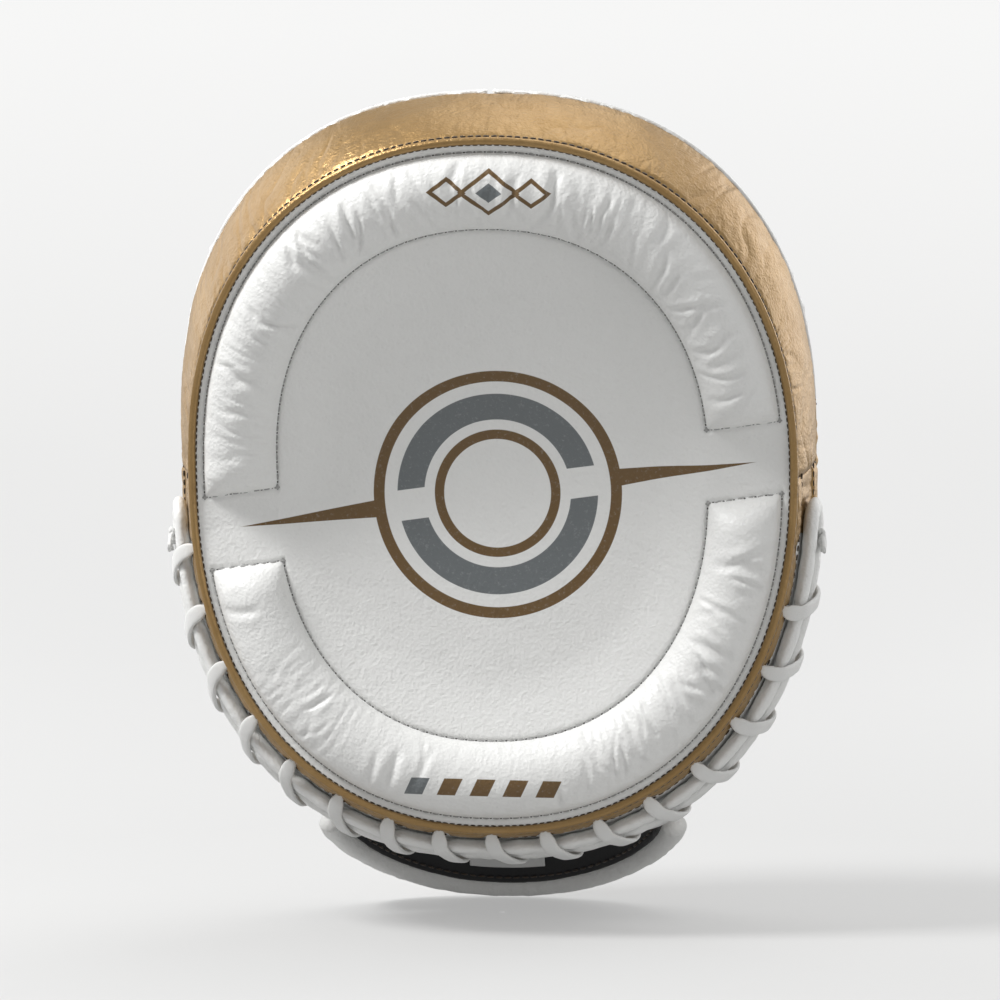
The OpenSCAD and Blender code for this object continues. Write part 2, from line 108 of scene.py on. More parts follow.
def noise(x, y, seed=0):
    """Smooth value noise from -1 to 1, one cell per unit."""
    x, y = np.broadcast_arrays(np.asarray(x, float), np.asarray(y, float))
    i, j = np.floor(x), np.floor(y)
    fx, fy = smooth(x - i), smooth(y - j)
    a = lerp(hashed(i, j, seed), hashed(i + 1, j, seed), fx)
    b = lerp(hashed(i, j + 1, seed), hashed(i + 1, j + 1, seed), fx)
    return 2 * lerp(a, b, fy) - 1


def fbm(x, y, seed=0, octaves=3):
    """Layers of noise, each finer and weaker."""
    total, size = 0.0, 1.0
    for k in range(octaves):
        total = total + noise(x * 2**k + 7.3 * k, y * 2**k - 3.1 * k, seed + k) * size
        size *= 0.5
    return total / 1.75


def ridged(x, y, seed=0):
    """0 on sharp valley lines, 1 away from them."""
    return np.sqrt(np.minimum(1, np.abs(noise(x, y, seed)) * 2.2))


# ---------- the bent pad ----------
def tilt(v):
    return BEND * np.clip((v + ZONE) / (2 * ZONE), 0, 1)


def place(u, v, d):
    """A point u across the pad, v along it and d behind its face."""
    u, v, d = np.broadcast_arrays(np.asarray(u, float), np.asarray(v, float), np.asarray(d, float))
    a = tilt(v)
    past = np.clip(v - ZONE, 0, None)
    y = -RADIUS * (1 - np.cos(a)) - past * math.sin(BEND)
    z = np.where(v < -ZONE, v, RADIUS * np.sin(a) - ZONE + past * math.cos(BEND))
    return np.stack([u, FACE_Y + y + d * np.cos(a), BEND_Z + z + d * np.sin(a)], -1)


def outline(deg, d, inset=0.0):
    """Flat coordinates of the pad's outline at an angle and a depth behind the face."""
    a = np.radians(deg)
    k = d / DEPTH
    w, up, down = (lerp(FACE[i], BACK[i], k) - inset for i in ("w", "up", "down"))
    n = lerp(FACE["n"], BACK["n"], k)
    r = (np.abs(np.cos(a)) ** n + np.abs(np.sin(a)) ** n) ** (-1 / n)
    return w * r * np.cos(a), np.where(np.sin(a) < 0, down, up) * r * np.sin(a)


def rim(deg, d, inset=0.0):
    """A point on the side wall at an angle and a depth behind the face."""
    u, v = outline(deg, d, inset)
    return place(u, v, d)


def along(points):
    """Distance along a path of points."""
    return np.concatenate([[0], np.cumsum(np.linalg.norm(np.diff(points, axis=0), axis=1))])


def resample(points, step, closed=False):
    """Evenly spaced points on a path, and their fractional places in it."""
    if closed:
        points = np.vstack([points, points[:1]])
    s = along(points)
    count = max(2, int(round(s[-1] / step)))
    at = np.linspace(0, s[-1], count + 1)
    if closed:
        at = at[:-1]
    place_in = np.interp(at, s, np.arange(len(points)))
    return np.stack([np.interp(at, s, points[:, k]) for k in range(points.shape[1])], -1), place_in


def spline(points, per):
    """Catmull-Rom curve through rows of numbers."""
    p = np.vstack([2 * points[0] - points[1], points, 2 * points[-1] - points[-2]])
    t = np.linspace(0, 1, per, endpoint=False)[:, None]
    out = []
    for i in range(1, len(p) - 2):
        a, b, c, d = p[i - 1 : i + 3]
        out.append(0.5 * (2 * b + (c - a) * t + (2 * a - 5 * b + 4 * c - d) * t**2
                          + (3 * b - a - 3 * c + d) * t**3))
    return np.vstack(out + [points[-1:]])


# ---------- meshes ----------
def make(name, verts, faces, mat, body, nodes=(), flat=None):
    """A mesh object from millimetre points, riding on a CAD body."""
    me = bpy.data.meshes.new(name)
    me.from_pydata((np.asarray(verts, float) / 1000).tolist(), [], [list(map(int, f)) for f in faces])
    me.validate()
    if flat is not None:
        att = me.attributes.new("flat", "FLOAT_VECTOR", "POINT")
        att.data.foreach_set("vector", np.asarray(flat, np.float32).ravel())
    me.materials.append(mat.mat)
    bm = bmesh.new()
    bm.from_mesh(me)
    bmesh.ops.recalc_face_normals(bm, faces=bm.faces)
    bm.to_mesh(me)
    bm.free()
    me.polygons.foreach_set("use_smooth", [True] * len(me.polygons))
    me.update()
    ob = bpy.data.objects.new(name, me)
    bpy.context.scene.collection.objects.link(ob)
    if body:
        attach(ob, body)
    if nodes:
        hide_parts(*nodes)
    return ob


def grid_faces(rows, cols, wrap=False, start=0):
    """Quads over a grid of points, row by row."""
    j, i = np.meshgrid(np.arange(rows - 1), np.arange(cols if wrap else cols - 1), indexing="ij")
    k = (i + 1) % cols
    return np.stack([j * cols + i, j * cols + k, (j + 1) * cols + k, (j + 1) * cols + i],
                    -1).reshape(-1, 4) + start


def outward(p, out):
    """Unit normals of a grid of points, on the side that out points to, and whether that turned them."""
    n = unit(np.cross(np.gradient(p, axis=1), np.gradient(p, axis=0)))
    flip = bool((n * out).sum() < 0)
    return (-n if flip else n), flip


def shell(p, thick, out):
    """Closed shell with rounded edges from a grid of front points; its thickness lies away from out."""
    rows, cols = p.shape[:2]
    n, flip = outward(p, out)
    back = p - n * thick
    count = rows * cols
    front = grid_faces(rows, cols)
    faces = [front, front[:, ::-1] + count]
    verts = [p.reshape(-1, 3), back.reshape(-1, 3)]
    idx = np.arange(count).reshape(rows, cols)
    loops = [(idx[0], p[0] - p[1], True), (idx[-1], p[-1] - p[-2], False),
             (idx[:, 0], p[:, 0] - p[:, 1], False), (idx[:, -1], p[:, -1] - p[:, -2], True)]
    base = 2 * count
    for line, away, forward in loops:
        verts.append((verts[0][line] + verts[1][line]) / 2 + unit(away) * thick / 2)
        m = base + np.arange(len(line))
        base += len(line)
        a, b, ma, mb = line[:-1], line[1:], m[:-1], m[1:]
        quads = np.vstack([np.stack([b, a, ma, mb], -1), np.stack([mb, ma, a + count, b + count], -1)])
        faces.append(quads if forward else quads[:, ::-1])
    top, bottom, left = 2 * count, 2 * count + cols, 2 * count + 2 * cols
    right = left + rows
    corners = [(idx[0, 0], top, left), (idx[0, -1], right, top + cols - 1),
               (idx[-1, 0], left + rows - 1, bottom), (idx[-1, -1], bottom + cols - 1, right + rows - 1)]
    tris = [t for c, a, b in corners for t in ([c, a, b], [c + count, b, a])]
    faces = [q for f in faces + [np.array(tris)] for q in f.tolist()]
    if flip:
        faces = [q[::-1] for q in faces]
    return np.vstack(verts), faces


def frames(path, up, closed=False):
    """Tangent, side and up at each point of a path; up is a guide direction or an array of them."""
    if closed:
        t = unit(np.roll(path, -1, 0) - np.roll(path, 1, 0))
    else:
        t = unit(np.gradient(path, axis=0))
    up = np.broadcast_to(np.asarray(up, float), path.shape)
    up = unit(up - (up * t).sum(-1, keepdims=True) * t)
    return t, np.cross(t, up), up


def sweep(path, up, section, closed=False, scale=None, caps=True):
    """A section of (side, up) points carried along a path; scale is a number or a pair per path point."""
    section = np.asarray(section, float)
    m, count = len(section), len(path)
    _, side, up = frames(path, up, closed)
    if scale is None:
        scale = np.ones((count, 2))
    scale = np.asarray(scale, float)
    if scale.ndim == 1:
        scale = np.stack([scale, scale], -1)
    p = (path[:, None] + side[:, None] * (section[None, :, :1] * scale[:, None, :1])
         + up[:, None] * (section[None, :, 1:] * scale[:, None, 1:]))
    faces = grid_faces(count, m, True).tolist()
    if closed:
        last = (count - 1) * m
        faces += [[last + k, last + (k + 1) % m, (k + 1) % m, k] for k in range(m)]
    elif caps:
        faces += [list(range(m))[::-1], [(count - 1) * m + k for k in range(m)]]
    return p.reshape(-1, 3), faces


def oval(a, b=None, n=12, power=2.0):
    """Points round a superellipse section."""
    b = a if b is None else b
    t = np.radians(360 * np.arange(n) / n)
    c, s = np.cos(t), np.sin(t)
    return np.stack([a * np.sign(c) * np.abs(c) ** (2 / power), b * np.sign(s) * np.abs(s) ** (2 / power)],
                    -1)


def merge(parts):
    """Several meshes as one."""
    verts, faces, base = [], [], 0
    for v, f in parts:
        verts.append(v)
        faces += [[int(i) + base for i in q] for q in f]
        base += len(v)
    return np.vstack(verts), faces


# ---------- thread ----------
def bead(length, width, height, around=6):
    """One stitch: a low capsule along x, standing on z."""
    xs = np.array([-0.5, -0.36, 0.0, 0.36, 0.5]) * length
    rs = np.array([0.12, 0.8, 1.0, 0.8, 0.12])
    v = [[x, r * width / 2 * math.cos(t), r * height * math.sin(t)]
         for x, r in zip(xs, rs) for t in np.radians(360 * np.arange(around) / around)]
    f = grid_faces(len(xs), around, True).tolist()
    f += [list(range(around))[::-1], [(len(xs) - 1) * around + k for k in range(around)]]
    return np.array(v), f


STITCH = {}


def stitch(kind, path, out, pitch=3.1, length=2.3, width=0.75, height=0.42, lift=0.05, body="pad", seed=0,
           closed=False):
    """Thread along a path, collected by kind and body; out is the surface's outward direction there."""
    pts, at = resample(path, pitch, closed)
    out = np.broadcast_to(np.asarray(out, float), path.shape)
    if closed:
        out = np.vstack([out, out[:1]])
    nrm = unit(np.stack([np.interp(at, np.arange(len(out)), out[:, k]) for k in range(3)], -1))
    t, side, nrm = frames(pts, nrm, closed)
    rng = np.random.default_rng(1000 + seed)
    bv, bf = bead(length, width, height)
    for k in range(len(pts)):
        turn = rng.normal(0, 0.05)
        tt = t[k] * math.cos(turn) + side[k] * math.sin(turn)
        ss = side[k] * math.cos(turn) - t[k] * math.sin(turn)
        v = pts[k] + bv[:, :1] * tt + bv[:, 1:2] * ss + (bv[:, 2:] + lift) * nrm[k]
        STITCH.setdefault((kind, body), []).append((v, bf))


def holes(path, out, pitch=3.1, size=0.42, body="pad", kind="hole", closed=False, lift=0.0):
    """Dark beads half a pitch from each stitch: painted shade for the needle holes."""
    pts, at = resample(path, pitch, closed)
    pts = (pts[:-1] + pts[1:]) / 2
    out = np.broadcast_to(np.asarray(out, float), path.shape)
    nrm = unit(np.stack([np.interp((at[:-1] + at[1:]) / 2, np.arange(len(out)), out[:, k])
                         for k in range(3)], -1))
    t, side, nrm = frames(pts, nrm)
    bv, bf = bead(size * 2, size * 1.7, size * 0.5)
    for k in range(len(pts)):
        v = pts[k] + bv[:, :1] * t[k] + bv[:, 1:2] * side[k] + (bv[:, 2:] + lift) * nrm[k]
        STITCH.setdefault((kind, body), []).append((v, bf))


# ---------- shader formulas ----------
class Ex:
    """A number in a shader, so that formulas read as formulas."""

    def __init__(self, tree, socket):
        self.tree, self.socket = tree, socket

    def op(self, name, *others, clamp=False):
        """This number put through a maths node."""
        node = self.tree.nodes.new("ShaderNodeMath")
        node.operation = name
        node.use_clamp = clamp
        for k, value in enumerate((self,) + others):
            if isinstance(value, Ex):
                self.tree.links.new(value.socket, node.inputs[k])
            else:
                node.inputs[k].default_value = float(value)
        return Ex(self.tree, node.outputs[0])

    def __add__(self, o):
        return self.op("ADD", o)

    def __sub__(self, o):
        return self.op("SUBTRACT", o)

    def __mul__(self, o):
        return self.op("MULTIPLY", o)

    def __neg__(self):
        return self.op("MULTIPLY", -1)

    def abs(self):
        return self.op("ABSOLUTE")

    def below(self, limit, soft=0.12):
        """1 where the value is under limit, with an edge soft wide."""
        return ((self - limit) * (-1 / soft) + 0.5).op("ADD", 0, clamp=True)

    def between(self, low, high, soft=0.12):
        """1 between two limits."""
        return self.below(high, soft) * (-self).below(-low, soft)


def both(a, b):
    """1 where either mask is 1."""
    return a.op("MAXIMUM", b)


class Mat:
    """A node material built round one Principled shader."""

    def __init__(self, name, color, rough=0.5, metal=0.0, **inputs):
        self.mat = bpy.data.materials.new(name)
        self.mat.use_nodes = True
        self.tree = self.mat.node_tree
        self.p = self.tree.nodes["Principled BSDF"]
        self.p.inputs["Base Color"].default_value = (*color, 1)
        self.p.inputs["Roughness"].default_value = rough
        self.p.inputs["Metallic"].default_value = metal
        for key, value in inputs.items():
            self.p.inputs[key.replace("_", " ")].default_value = value
        self.color = None
        self.height = None
        coords = self.tree.nodes.new("ShaderNodeTexCoord")
        scale = self.tree.nodes.new("ShaderNodeVectorMath")
        scale.operation = "SCALE"
        scale.inputs["Scale"].default_value = 1000
        self.tree.links.new(coords.outputs["Object"], scale.inputs[0])
        self.mm = scale.outputs[0]

    def noise(self, size, detail=3, rough=0.55, stretch=None, warp=0.0):
        """Fractal noise from 0 to 1 with features size millimetres across."""
        node = self.tree.nodes.new("ShaderNodeTexNoise")
        node.inputs["Scale"].default_value = 1 / size
        node.inputs["Detail"].default_value = detail
        node.inputs["Roughness"].default_value = rough
        node.inputs["Distortion"].default_value = warp
        vector = self.mm
        if stretch:
            mult = self.tree.nodes.new("ShaderNodeVectorMath")
            mult.operation = "MULTIPLY"
            mult.inputs[1].default_value = stretch
            self.tree.links.new(vector, mult.inputs[0])
            vector = mult.outputs[0]
        self.tree.links.new(vector, node.inputs["Vector"])
        return Ex(self.tree, node.outputs[0])

    def cells(self, size, feature="SMOOTH_F1", randomness=1.0, smoothness=0.3):
        node = self.tree.nodes.new("ShaderNodeTexVoronoi")
        node.feature = feature
        node.inputs["Scale"].default_value = 1 / size
        node.inputs["Randomness"].default_value = randomness
        if feature == "SMOOTH_F1":
            node.inputs["Smoothness"].default_value = smoothness
        self.tree.links.new(self.mm, node.inputs["Vector"])
        return Ex(self.tree, node.outputs["Distance"])

    def attribute(self, name="flat"):
        node = self.tree.nodes.new("ShaderNodeAttribute")
        node.attribute_name = name
        parts = self.tree.nodes.new("ShaderNodeSeparateXYZ")
        self.tree.links.new(node.outputs["Vector"], parts.inputs[0])
        return [Ex(self.tree, parts.outputs[k]) for k in range(3)]

    def mix(self, factor, other):
        """Mix another colour in by factor."""
        node = self.tree.nodes.new("ShaderNodeMix")
        node.data_type = "RGBA"
        if self.color is None:
            node.inputs[6].default_value = self.p.inputs["Base Color"].default_value
        else:
            self.tree.links.new(self.color, node.inputs[6])
        node.inputs[7].default_value = (*other, 1)
        if isinstance(factor, Ex):
            self.tree.links.new(factor.socket, node.inputs[0])
        else:
            node.inputs[0].default_value = factor
        self.color = node.outputs[2]
        self.tree.links.new(self.color, self.p.inputs["Base Color"])
        return self

    def rough(self, value):
        self.tree.links.new(value.socket, self.p.inputs["Roughness"])
        return self

    def bump(self, height, depth, strength=1.0):
        """Relief of a height from 0 to 1, depth millimetres deep."""
        node = self.tree.nodes.new("ShaderNodeBump")
        node.inputs["Strength"].default_value = strength
        node.inputs["Distance"].default_value = depth / 1000
        self.tree.links.new(height.socket, node.inputs["Height"])
        self.tree.links.new(node.outputs["Normal"], self.p.inputs["Normal"])
        return self


def leather_height(m, grain, crease=0.5):
    """Pebbled grain with fine pores and faint creases."""
    pebble = m.cells(grain, smoothness=0.25).op("POWER", 0.8)
    fine = m.noise(grain * 0.45, 2)
    creases = m.noise(grain * 3.2, 4, 0.6, warp=0.7)
    lines = ((creases - 0.5).abs() * 6).op("MINIMUM", 1.0)
    return pebble * 0.55 + fine * 0.25 + lines * crease * 0.5


def white_leather(name, color=(0.80, 0.80, 0.785), grain=1.2, depth=0.27, rough=0.47, crease=0.5):
    m = Mat(name, color, rough, Coat_Weight=0.04, Coat_Roughness=0.35, Subsurface_Weight=0.0)
    tone = m.noise(38, 3)
    m.mix((tone * 1.6 - 0.45).op("ADD", 0, clamp=True) * 0.35, tuple(c * 0.93 for c in color))
    h = leather_height(m, grain, crease)
    # painted shade: the colour darkens towards 80 per cent where the grain height is low, in its pits and
    # creases
    m.mix((h * -1.3 + 0.62).op("ADD", 0, clamp=True) * 0.35, tuple(c * 0.80 for c in color))
    m.rough(m.noise(9, 3) * 0.16 + (rough - 0.08))
    return m.bump(h, depth)


def gold_leather(name, color=(0.52, 0.345, 0.135), grain=1.05, depth=0.16, metal=0.72):
    m = Mat(name, color, 0.4, metal)
    patch = m.noise(24, 4, 0.6)
    m.mix((patch * 2.6 - 0.95).op("ADD", 0, clamp=True) * 0.5, (0.45, 0.30, 0.14))
    fine = m.noise(1.6, 3)
    m.mix((fine * 3 - 1.25).op("ADD", 0, clamp=True) * 0.3, (0.30, 0.185, 0.065))
    h = leather_height(m, grain, 0.75)
    # painted shade: the colour darkens to deep brown where the grain height is low, in its pits and creases
    m.mix((h * -1.6 + 0.75).op("ADD", 0, clamp=True) * 0.55, (0.20, 0.115, 0.035))
    m.rough(m.noise(5, 3) * 0.2 + 0.29)
    return m.bump(h, depth)


def fabric(name, color, thread=0.55, rough=0.85, depth=0.12, sheen=0.3):
    """Plain weave: two crossed waves."""
    m = Mat(name, color, rough, Sheen_Weight=sheen, Sheen_Roughness=0.5)
    parts = m.tree.nodes.new("ShaderNodeSeparateXYZ")
    m.tree.links.new(m.mm, parts.inputs[0])
    x, y, z = (Ex(m.tree, parts.outputs[k]) for k in range(3))
    turn = math.pi / thread
    across = ((x + y * 0.7) * turn).op("SINE")
    down = ((z + y * 0.3) * turn).op("SINE")
    weave = across * down * 0.5 + 0.5
    m.mix(weave * 0.35, tuple(c * 0.7 for c in color))
    m.mix(m.noise(14, 3) * 0.25, tuple(c * 0.85 for c in color))
    return m.bump(weave * 0.8 + m.noise(0.4, 2) * 0.2, depth)


def suede(name, color, depth=0.16):
    m = Mat(name, color, 0.88, Sheen_Weight=0.25, Sheen_Roughness=0.6)
    nap = m.noise(0.35, 3, 0.7)
    m.mix(m.noise(6, 4) * 0.35, tuple(c * 0.86 for c in color))
    return m.bump(nap * 0.6 + m.noise(1.4, 3, 0.6, warp=0.5) * 0.4, depth)


def thread(name, color, rough=0.6):
    m = Mat(name, color, rough, Sheen_Weight=0.3)
    m.mix(m.noise(0.5, 2) * 0.5, tuple(c * 0.7 for c in color))
    return m.bump(m.noise(0.22, 2), 0.05)


def foam(name, color):
    m = Mat(name, color, 0.92)
    pores = m.cells(0.9)
    m.mix(pores * 0.6, tuple(c * 0.75 for c in color))
    return m.bump(pores, 0.2)


# ---------- prints: plain generic shapes ----------
BROWN = (0.13, 0.068, 0.013)
GREY = (0.12, 0.135, 0.142)
TARGET = (1.7, -4.6)
TARGET_TILT = math.radians(7.3)


def turned(u, v, centre, angle):
    """Flat coordinates moved to a centre and turned."""
    x, y = u - centre[0], v - centre[1]
    c, s = math.cos(angle), math.sin(angle)
    return x * c + y * s, y * c - x * s


def target_print(m):
    """The face's printed target: two brown rings, grey arcs, side spikes, diamonds and slanted bars."""
    u, v, _ = m.attribute()
    x, y = turned(u, v, TARGET, TARGET_TILT)
    r = (x * x + y * y).op("SQRT")
    brown = both(r.between(36.0, 39.5), r.between(17.0, 20.0))
    reach = 82.5
    half = (-x.abs() + reach) * (2.7 / (reach - 38.5))
    spike = (y.abs() - half).below(0, 0.1) * x.abs().between(37.5, reach + 1)
    brown = both(brown, spike)
    grey = r.between(23.3, 31.9) * (-y.abs()).below(-4.75)
    # bars in place of the lettering under the target, and diamonds on the upper roll
    bx, by = turned(u, v, (0.4, -97.0), math.radians(-1.2))
    lean = bx - by * 0.45
    row = lean.op("ADD", 60).op("MODULO", 10.4) - 5.2
    bars = row.abs().below(2.9, 0.15) * by.abs().below(2.7, 0.15)
    grey = both(grey, bars * (lean + 23.6).abs().below(5.0))
    brown = both(brown, bars * (lean - 2.4).abs().below(20.0))
    dx, dy = turned(u, v, (1.5, 95.5), math.radians(-1.2))
    for shift, size in ((-13.0, 4.6), (0.0, 7.2), (13.0, 4.6)):
        d = (dx - shift).abs() * 0.75 + dy.abs()
        brown = both(brown, d.between(size - 1.5, size, 0.15))
    grey = both(grey, (dx.abs() * 0.75 + dy.abs()).below(3.0, 0.15))
    worn = (m.noise(1.1, 3, 0.7) * 6 - 1.6).op("ADD", 0, clamp=True)
    m.mix(brown * (worn * 0.12 + 0.86), BROWN)
    m.mix(grey * (worn * 0.12 + 0.84), GREY)


WHITE = white_leather("white_leather")
FACE_MAT = white_leather("face_leather", grain=1.25, depth=0.26, rough=0.45)
target_print(FACE_MAT)
GOLD = gold_leather("gold_leather", (0.34, 0.212, 0.085))
SUEDE = suede("white_suede", (0.74, 0.735, 0.715), 0.35)
LACE = suede("lace_suede", (0.78, 0.78, 0.765), 0.3)
THREAD = thread("white_thread", (0.36, 0.36, 0.35))
DARK_THREAD = thread("dark_thread", (0.045, 0.028, 0.014))
# needle holes: dark beads lifted on the leather, painted shade where the holes sit
HOLE_SHADE = Mat("needle_hole_shade", (0.09, 0.088, 0.085), 0.9)
HOLE_SHADE.bump(HOLE_SHADE.noise(0.3, 2), 0.05)
FOAM = foam("foam", (0.62, 0.60, 0.52))
BOARD = foam("board", (0.05, 0.05, 0.055))
LINING = fabric("pale_lining", (0.62, 0.62, 0.61))
BLACK = Mat("black_lining", (0.008, 0.008, 0.009), 0.33, Sheen_Weight=0.2)
BLACK.bump(BLACK.noise(1.2, 3, 0.6, warp=0.6), 0.12)
RING = Mat("black_gloss", (0.006, 0.006, 0.007), 0.16, Coat_Weight=0.6, Coat_Roughness=0.08)
RING.rough(RING.noise(4, 4, 0.65) * 0.14 + 0.1)
RING.bump(RING.noise(0.9, 3), 0.012)
TAPE = fabric("hook_and_loop", (0.014, 0.014, 0.015), thread=0.9, depth=0.4)
LABEL = fabric("label", (0.70, 0.70, 0.69), thread=0.3, depth=0.05, sheen=0.1)
BADGE = Mat("badge", (0.74, 0.74, 0.725), 0.38, Coat_Weight=0.2)
BADGE.rough(BADGE.noise(6, 3) * 0.15 + 0.3)
BADGE.bump(BADGE.noise(0.7, 3), 0.03)


# ---------- striking cover ----------
ROLL_H = 8.6
ROLL_OUT, ROLL_IN = 4.4, 27.8
DISH = 3.2
GAP_HALF = 11.8
GAP_TILT = 0.137
GAP_V = -5.0


def face_height(sa):
    """The face's half-height, below or above its middle."""
    return np.where(sa < 0, FACE["down"], FACE["up"])


def face_uv(deg, edge):
    """Flat place of a point at an outline angle, edge millimetres in from the face's edge."""
    a = np.radians(deg)
    n = FACE["n"]
    r = (np.abs(np.cos(a)) ** n + np.abs(np.sin(a)) ** n) ** (-1 / n)
    h = face_height(np.sin(a))
    q = np.ones_like(a + edge)
    for _ in range(6):
        q = 1 - edge / lerp(FACE["w"], h, np.clip(q * r * np.abs(np.sin(a)), 0, 1))
    return FACE["w"] * q * r * np.cos(a), h * q * r * np.sin(a)


def gap_line(u, v):
    """Height above the middle of the slanting gap between the rolls."""
    return v - GAP_V - u * GAP_TILT


RNG = np.random.default_rng(7)


def crease_set(count, centres, spread):
    """Creases as (angle, slant, start, end, depth, width, bow), bunched round some outline angles."""
    out = []
    for _ in range(count):
        a = RNG.choice(centres) + RNG.normal(0, spread)
        x0 = RNG.uniform(-0.25, 0.45)
        out.append((a, RNG.normal(0, 7), x0, x0 + RNG.uniform(0.4, 1.0), RNG.uniform(0.25, 1.0),
                    RNG.uniform(0.7, 1.7), RNG.normal(0, 3)))
    return out


CREASES = (crease_set(54, [128, 146, 160, 116, 50, 35, 22, 64], 9) + crease_set(16, [90, 75, 105], 9)
           + crease_set(46, [-22, -32, -42, -52, -62], 7) + crease_set(12, [-150, -165, -120, -135], 12))


def cover_relief(deg, u, v, edge):
    """Height of the cover in front of its edge, wrinkles and stitch grooves included."""
    x = (edge - ROLL_OUT) / (ROLL_IN - ROLL_OUT)
    gap = np.abs(gap_line(u, v)) - GAP_HALF
    xc, ec = np.clip(x, 0, 1), np.clip(gap / 11, 0, 1)
    across = (4 * xc * (1 - xc)) ** 0.62
    ends = (1 - (1 - ec) ** 2.2) ** 0.7
    roll = across * ends
    h = ROLL_H * roll - DISH * smooth((edge - ROLL_IN + 3) / 22)
    arc = np.radians(deg) * 96
    inside = (roll > 0.02)
    band = smooth(x * 6) * smooth((1 - x) * 6) * smooth(gap / 6)
    for a, slant, x0, x1, depth, width, bow in CREASES:
        near = np.abs((deg - a + 180) % 360 - 180) < 16
        if not near.any():
            continue
        xs = x[near]
        t = ((deg[near] - a + 180) % 360 - 180) * 1.7 - slant * (xs - 0.5) - bow * (xs - 0.5) ** 2 * 4
        win = smooth((xs - x0) * 5) * smooth((x1 - xs) * 5) * band[near]
        dip = np.exp(-((t / width) ** 2)) - 0.45 * np.exp(-(((t - 2.1 * width) / (1.5 * width)) ** 2)) \
            - 0.3 * np.exp(-(((t + 2.0 * width) / (1.4 * width)) ** 2))
        h[near] -= depth * dip * win
    patch = smooth(fbm(u / 34, v / 34, 3) * 1.2 + 0.42)
    warp = 5 * noise(u / 26, v / 26, 11)
    fine = 1 - ridged((arc + warp) / 3.4, x * 1.15 + 3, 21)
    finer = 1 - ridged((arc + 1.6 * warp) / 1.7, x * 1.6, 22)
    h -= (0.62 * fine + 0.3 * finer) * patch * band
    # gathers right at the roll's seams
    pucker = noise(arc / 2.3, 0 * arc, 31)
    for line in (ROLL_OUT, ROLL_IN):
        h += 0.28 * pucker * np.exp(-(((edge - line) / 2.6) ** 2)) * inside
    # soft creases and lumps in the dished middle and the gaps
    quiet = smooth((edge - ROLL_IN) / 8) + smooth(-gap / 4) * (edge < ROLL_IN)
    h += 0.22 * fbm(u / 17, v / 17, 41) * np.clip(quiet, 0, 1)
    drift = 3 * noise(u / 22, v / 22, 44)
    h -= 0.16 * (1 - ridged((u * 0.35 + v + drift) / 5.2, u / 26, 42)) * np.clip(quiet, 0, 1)
    # stitched grooves
    groove = np.zeros_like(h)
    on = smooth((gap + 1.2) * 2)
    for line in (ROLL_OUT, ROLL_IN):
        groove = np.maximum(groove, np.exp(-(((edge - line) / 0.75) ** 2)) * on)
    in_roll = smooth((edge - ROLL_OUT + 0.8) * 2) * smooth((ROLL_IN + 0.8 - edge) * 2)
    groove = np.maximum(groove, np.exp(-((gap / 0.75) ** 2)) * in_roll)
    h -= 0.75 * groove
    # the skin turns down into the welt
    h -= 1.3 * np.clip(1 - edge / 1.6, 0, 1) ** 2
    return h


def cover_points(deg, edge):
    """Points on the finished cover, and their flat coordinates."""
    u, v = face_uv(deg, edge)
    h = cover_relief(np.broadcast_to(deg, u.shape).copy(), u, v, np.broadcast_to(edge, u.shape))
    return place(u, v, -h), u, v


def build_cover():
    """The cover: rings of points from the welt inwards, then rows that shrink towards the middle."""
    cols = 800
    deg = np.arange(cols) * 360 / cols
    rings = np.concatenate([np.linspace(0.0, 3.2, 5), np.arange(3.8, 32, 0.62)])
    seams = [line + step for line in (ROLL_OUT, ROLL_IN) for step in (-0.45, 0, 0.45)]
    rings = np.array(sorted([r for r in rings if min(abs(r - s) for s in seams) > 0.2] + seams))
    inner = np.linspace(0, 1, 46)[1:]
    u0, v0 = face_uv(deg, rings[-1])
    rows_uv = [face_uv(deg, e) + (np.full(cols, e),) for e in rings]
    n = FACE["n"]
    for s in inner[:-1]:
        u, v = u0 * (1 - s), v0 * (1 - s)
        h = face_height(np.sin(np.radians(deg)))
        q = ((np.abs(u) / FACE["w"]) ** n + (np.abs(v) / h) ** n) ** (1 / n)
        rows_uv.append((u, v, (1 - q) * lerp(FACE["w"], h, np.clip(np.abs(v) / h, 0, 1))))
    u, v, e = (np.array([r[k] for r in rows_uv]) for k in range(3))
    p = place(u, v, -cover_relief(np.broadcast_to(deg, u.shape).copy(), u, v, e))
    rows = len(p)
    centre = place(0, 0, DISH)[None]
    verts = np.vstack([p.reshape(-1, 3), centre, place(u[0], v[0], 2.0), place(u[4], v[4], 2.6)])
    faces = grid_faces(rows, cols, True).tolist()
    last = (rows - 1) * cols
    faces += [[last + k, last + (k + 1) % cols, rows * cols] for k in range(cols)]
    lip = rows * cols + 1
    under = lip + cols
    faces += [[lip + k, lip + (k + 1) % cols, (k + 1) % cols, k] for k in range(cols)]
    faces += [[under + k, under + (k + 1) % cols, lip + (k + 1) % cols, lip + k] for k in range(cols)]
    flat = np.vstack([np.stack([u, v, e], -1).reshape(-1, 3), [[0, 0, 90]],
                      np.stack([u[0], v[0], e[0]], -1), np.stack([u[4], v[4], e[4]], -1)])
    make("striking_cover", verts, faces, FACE_MAT, "pad", ["strike_cover"], flat)


build_cover()


def roll_outline(sign):
    """The inner and outer stitched lines of one roll, as (deg, edge) rows."""
    deg = np.arange(-40, 220, 0.15) if sign > 0 else np.arange(-220, 40, 0.15)
    lines = []
    for line in (ROLL_IN, ROLL_OUT):
        u, v = face_uv(deg, np.full_like(deg, line))
        keep = sign * gap_line(u, v) > GAP_HALF
        keep &= (sign * np.sin(np.radians(deg)) > -0.5)
        lines.append(np.stack([deg[keep], np.full(keep.sum(), line)], -1))
    return lines


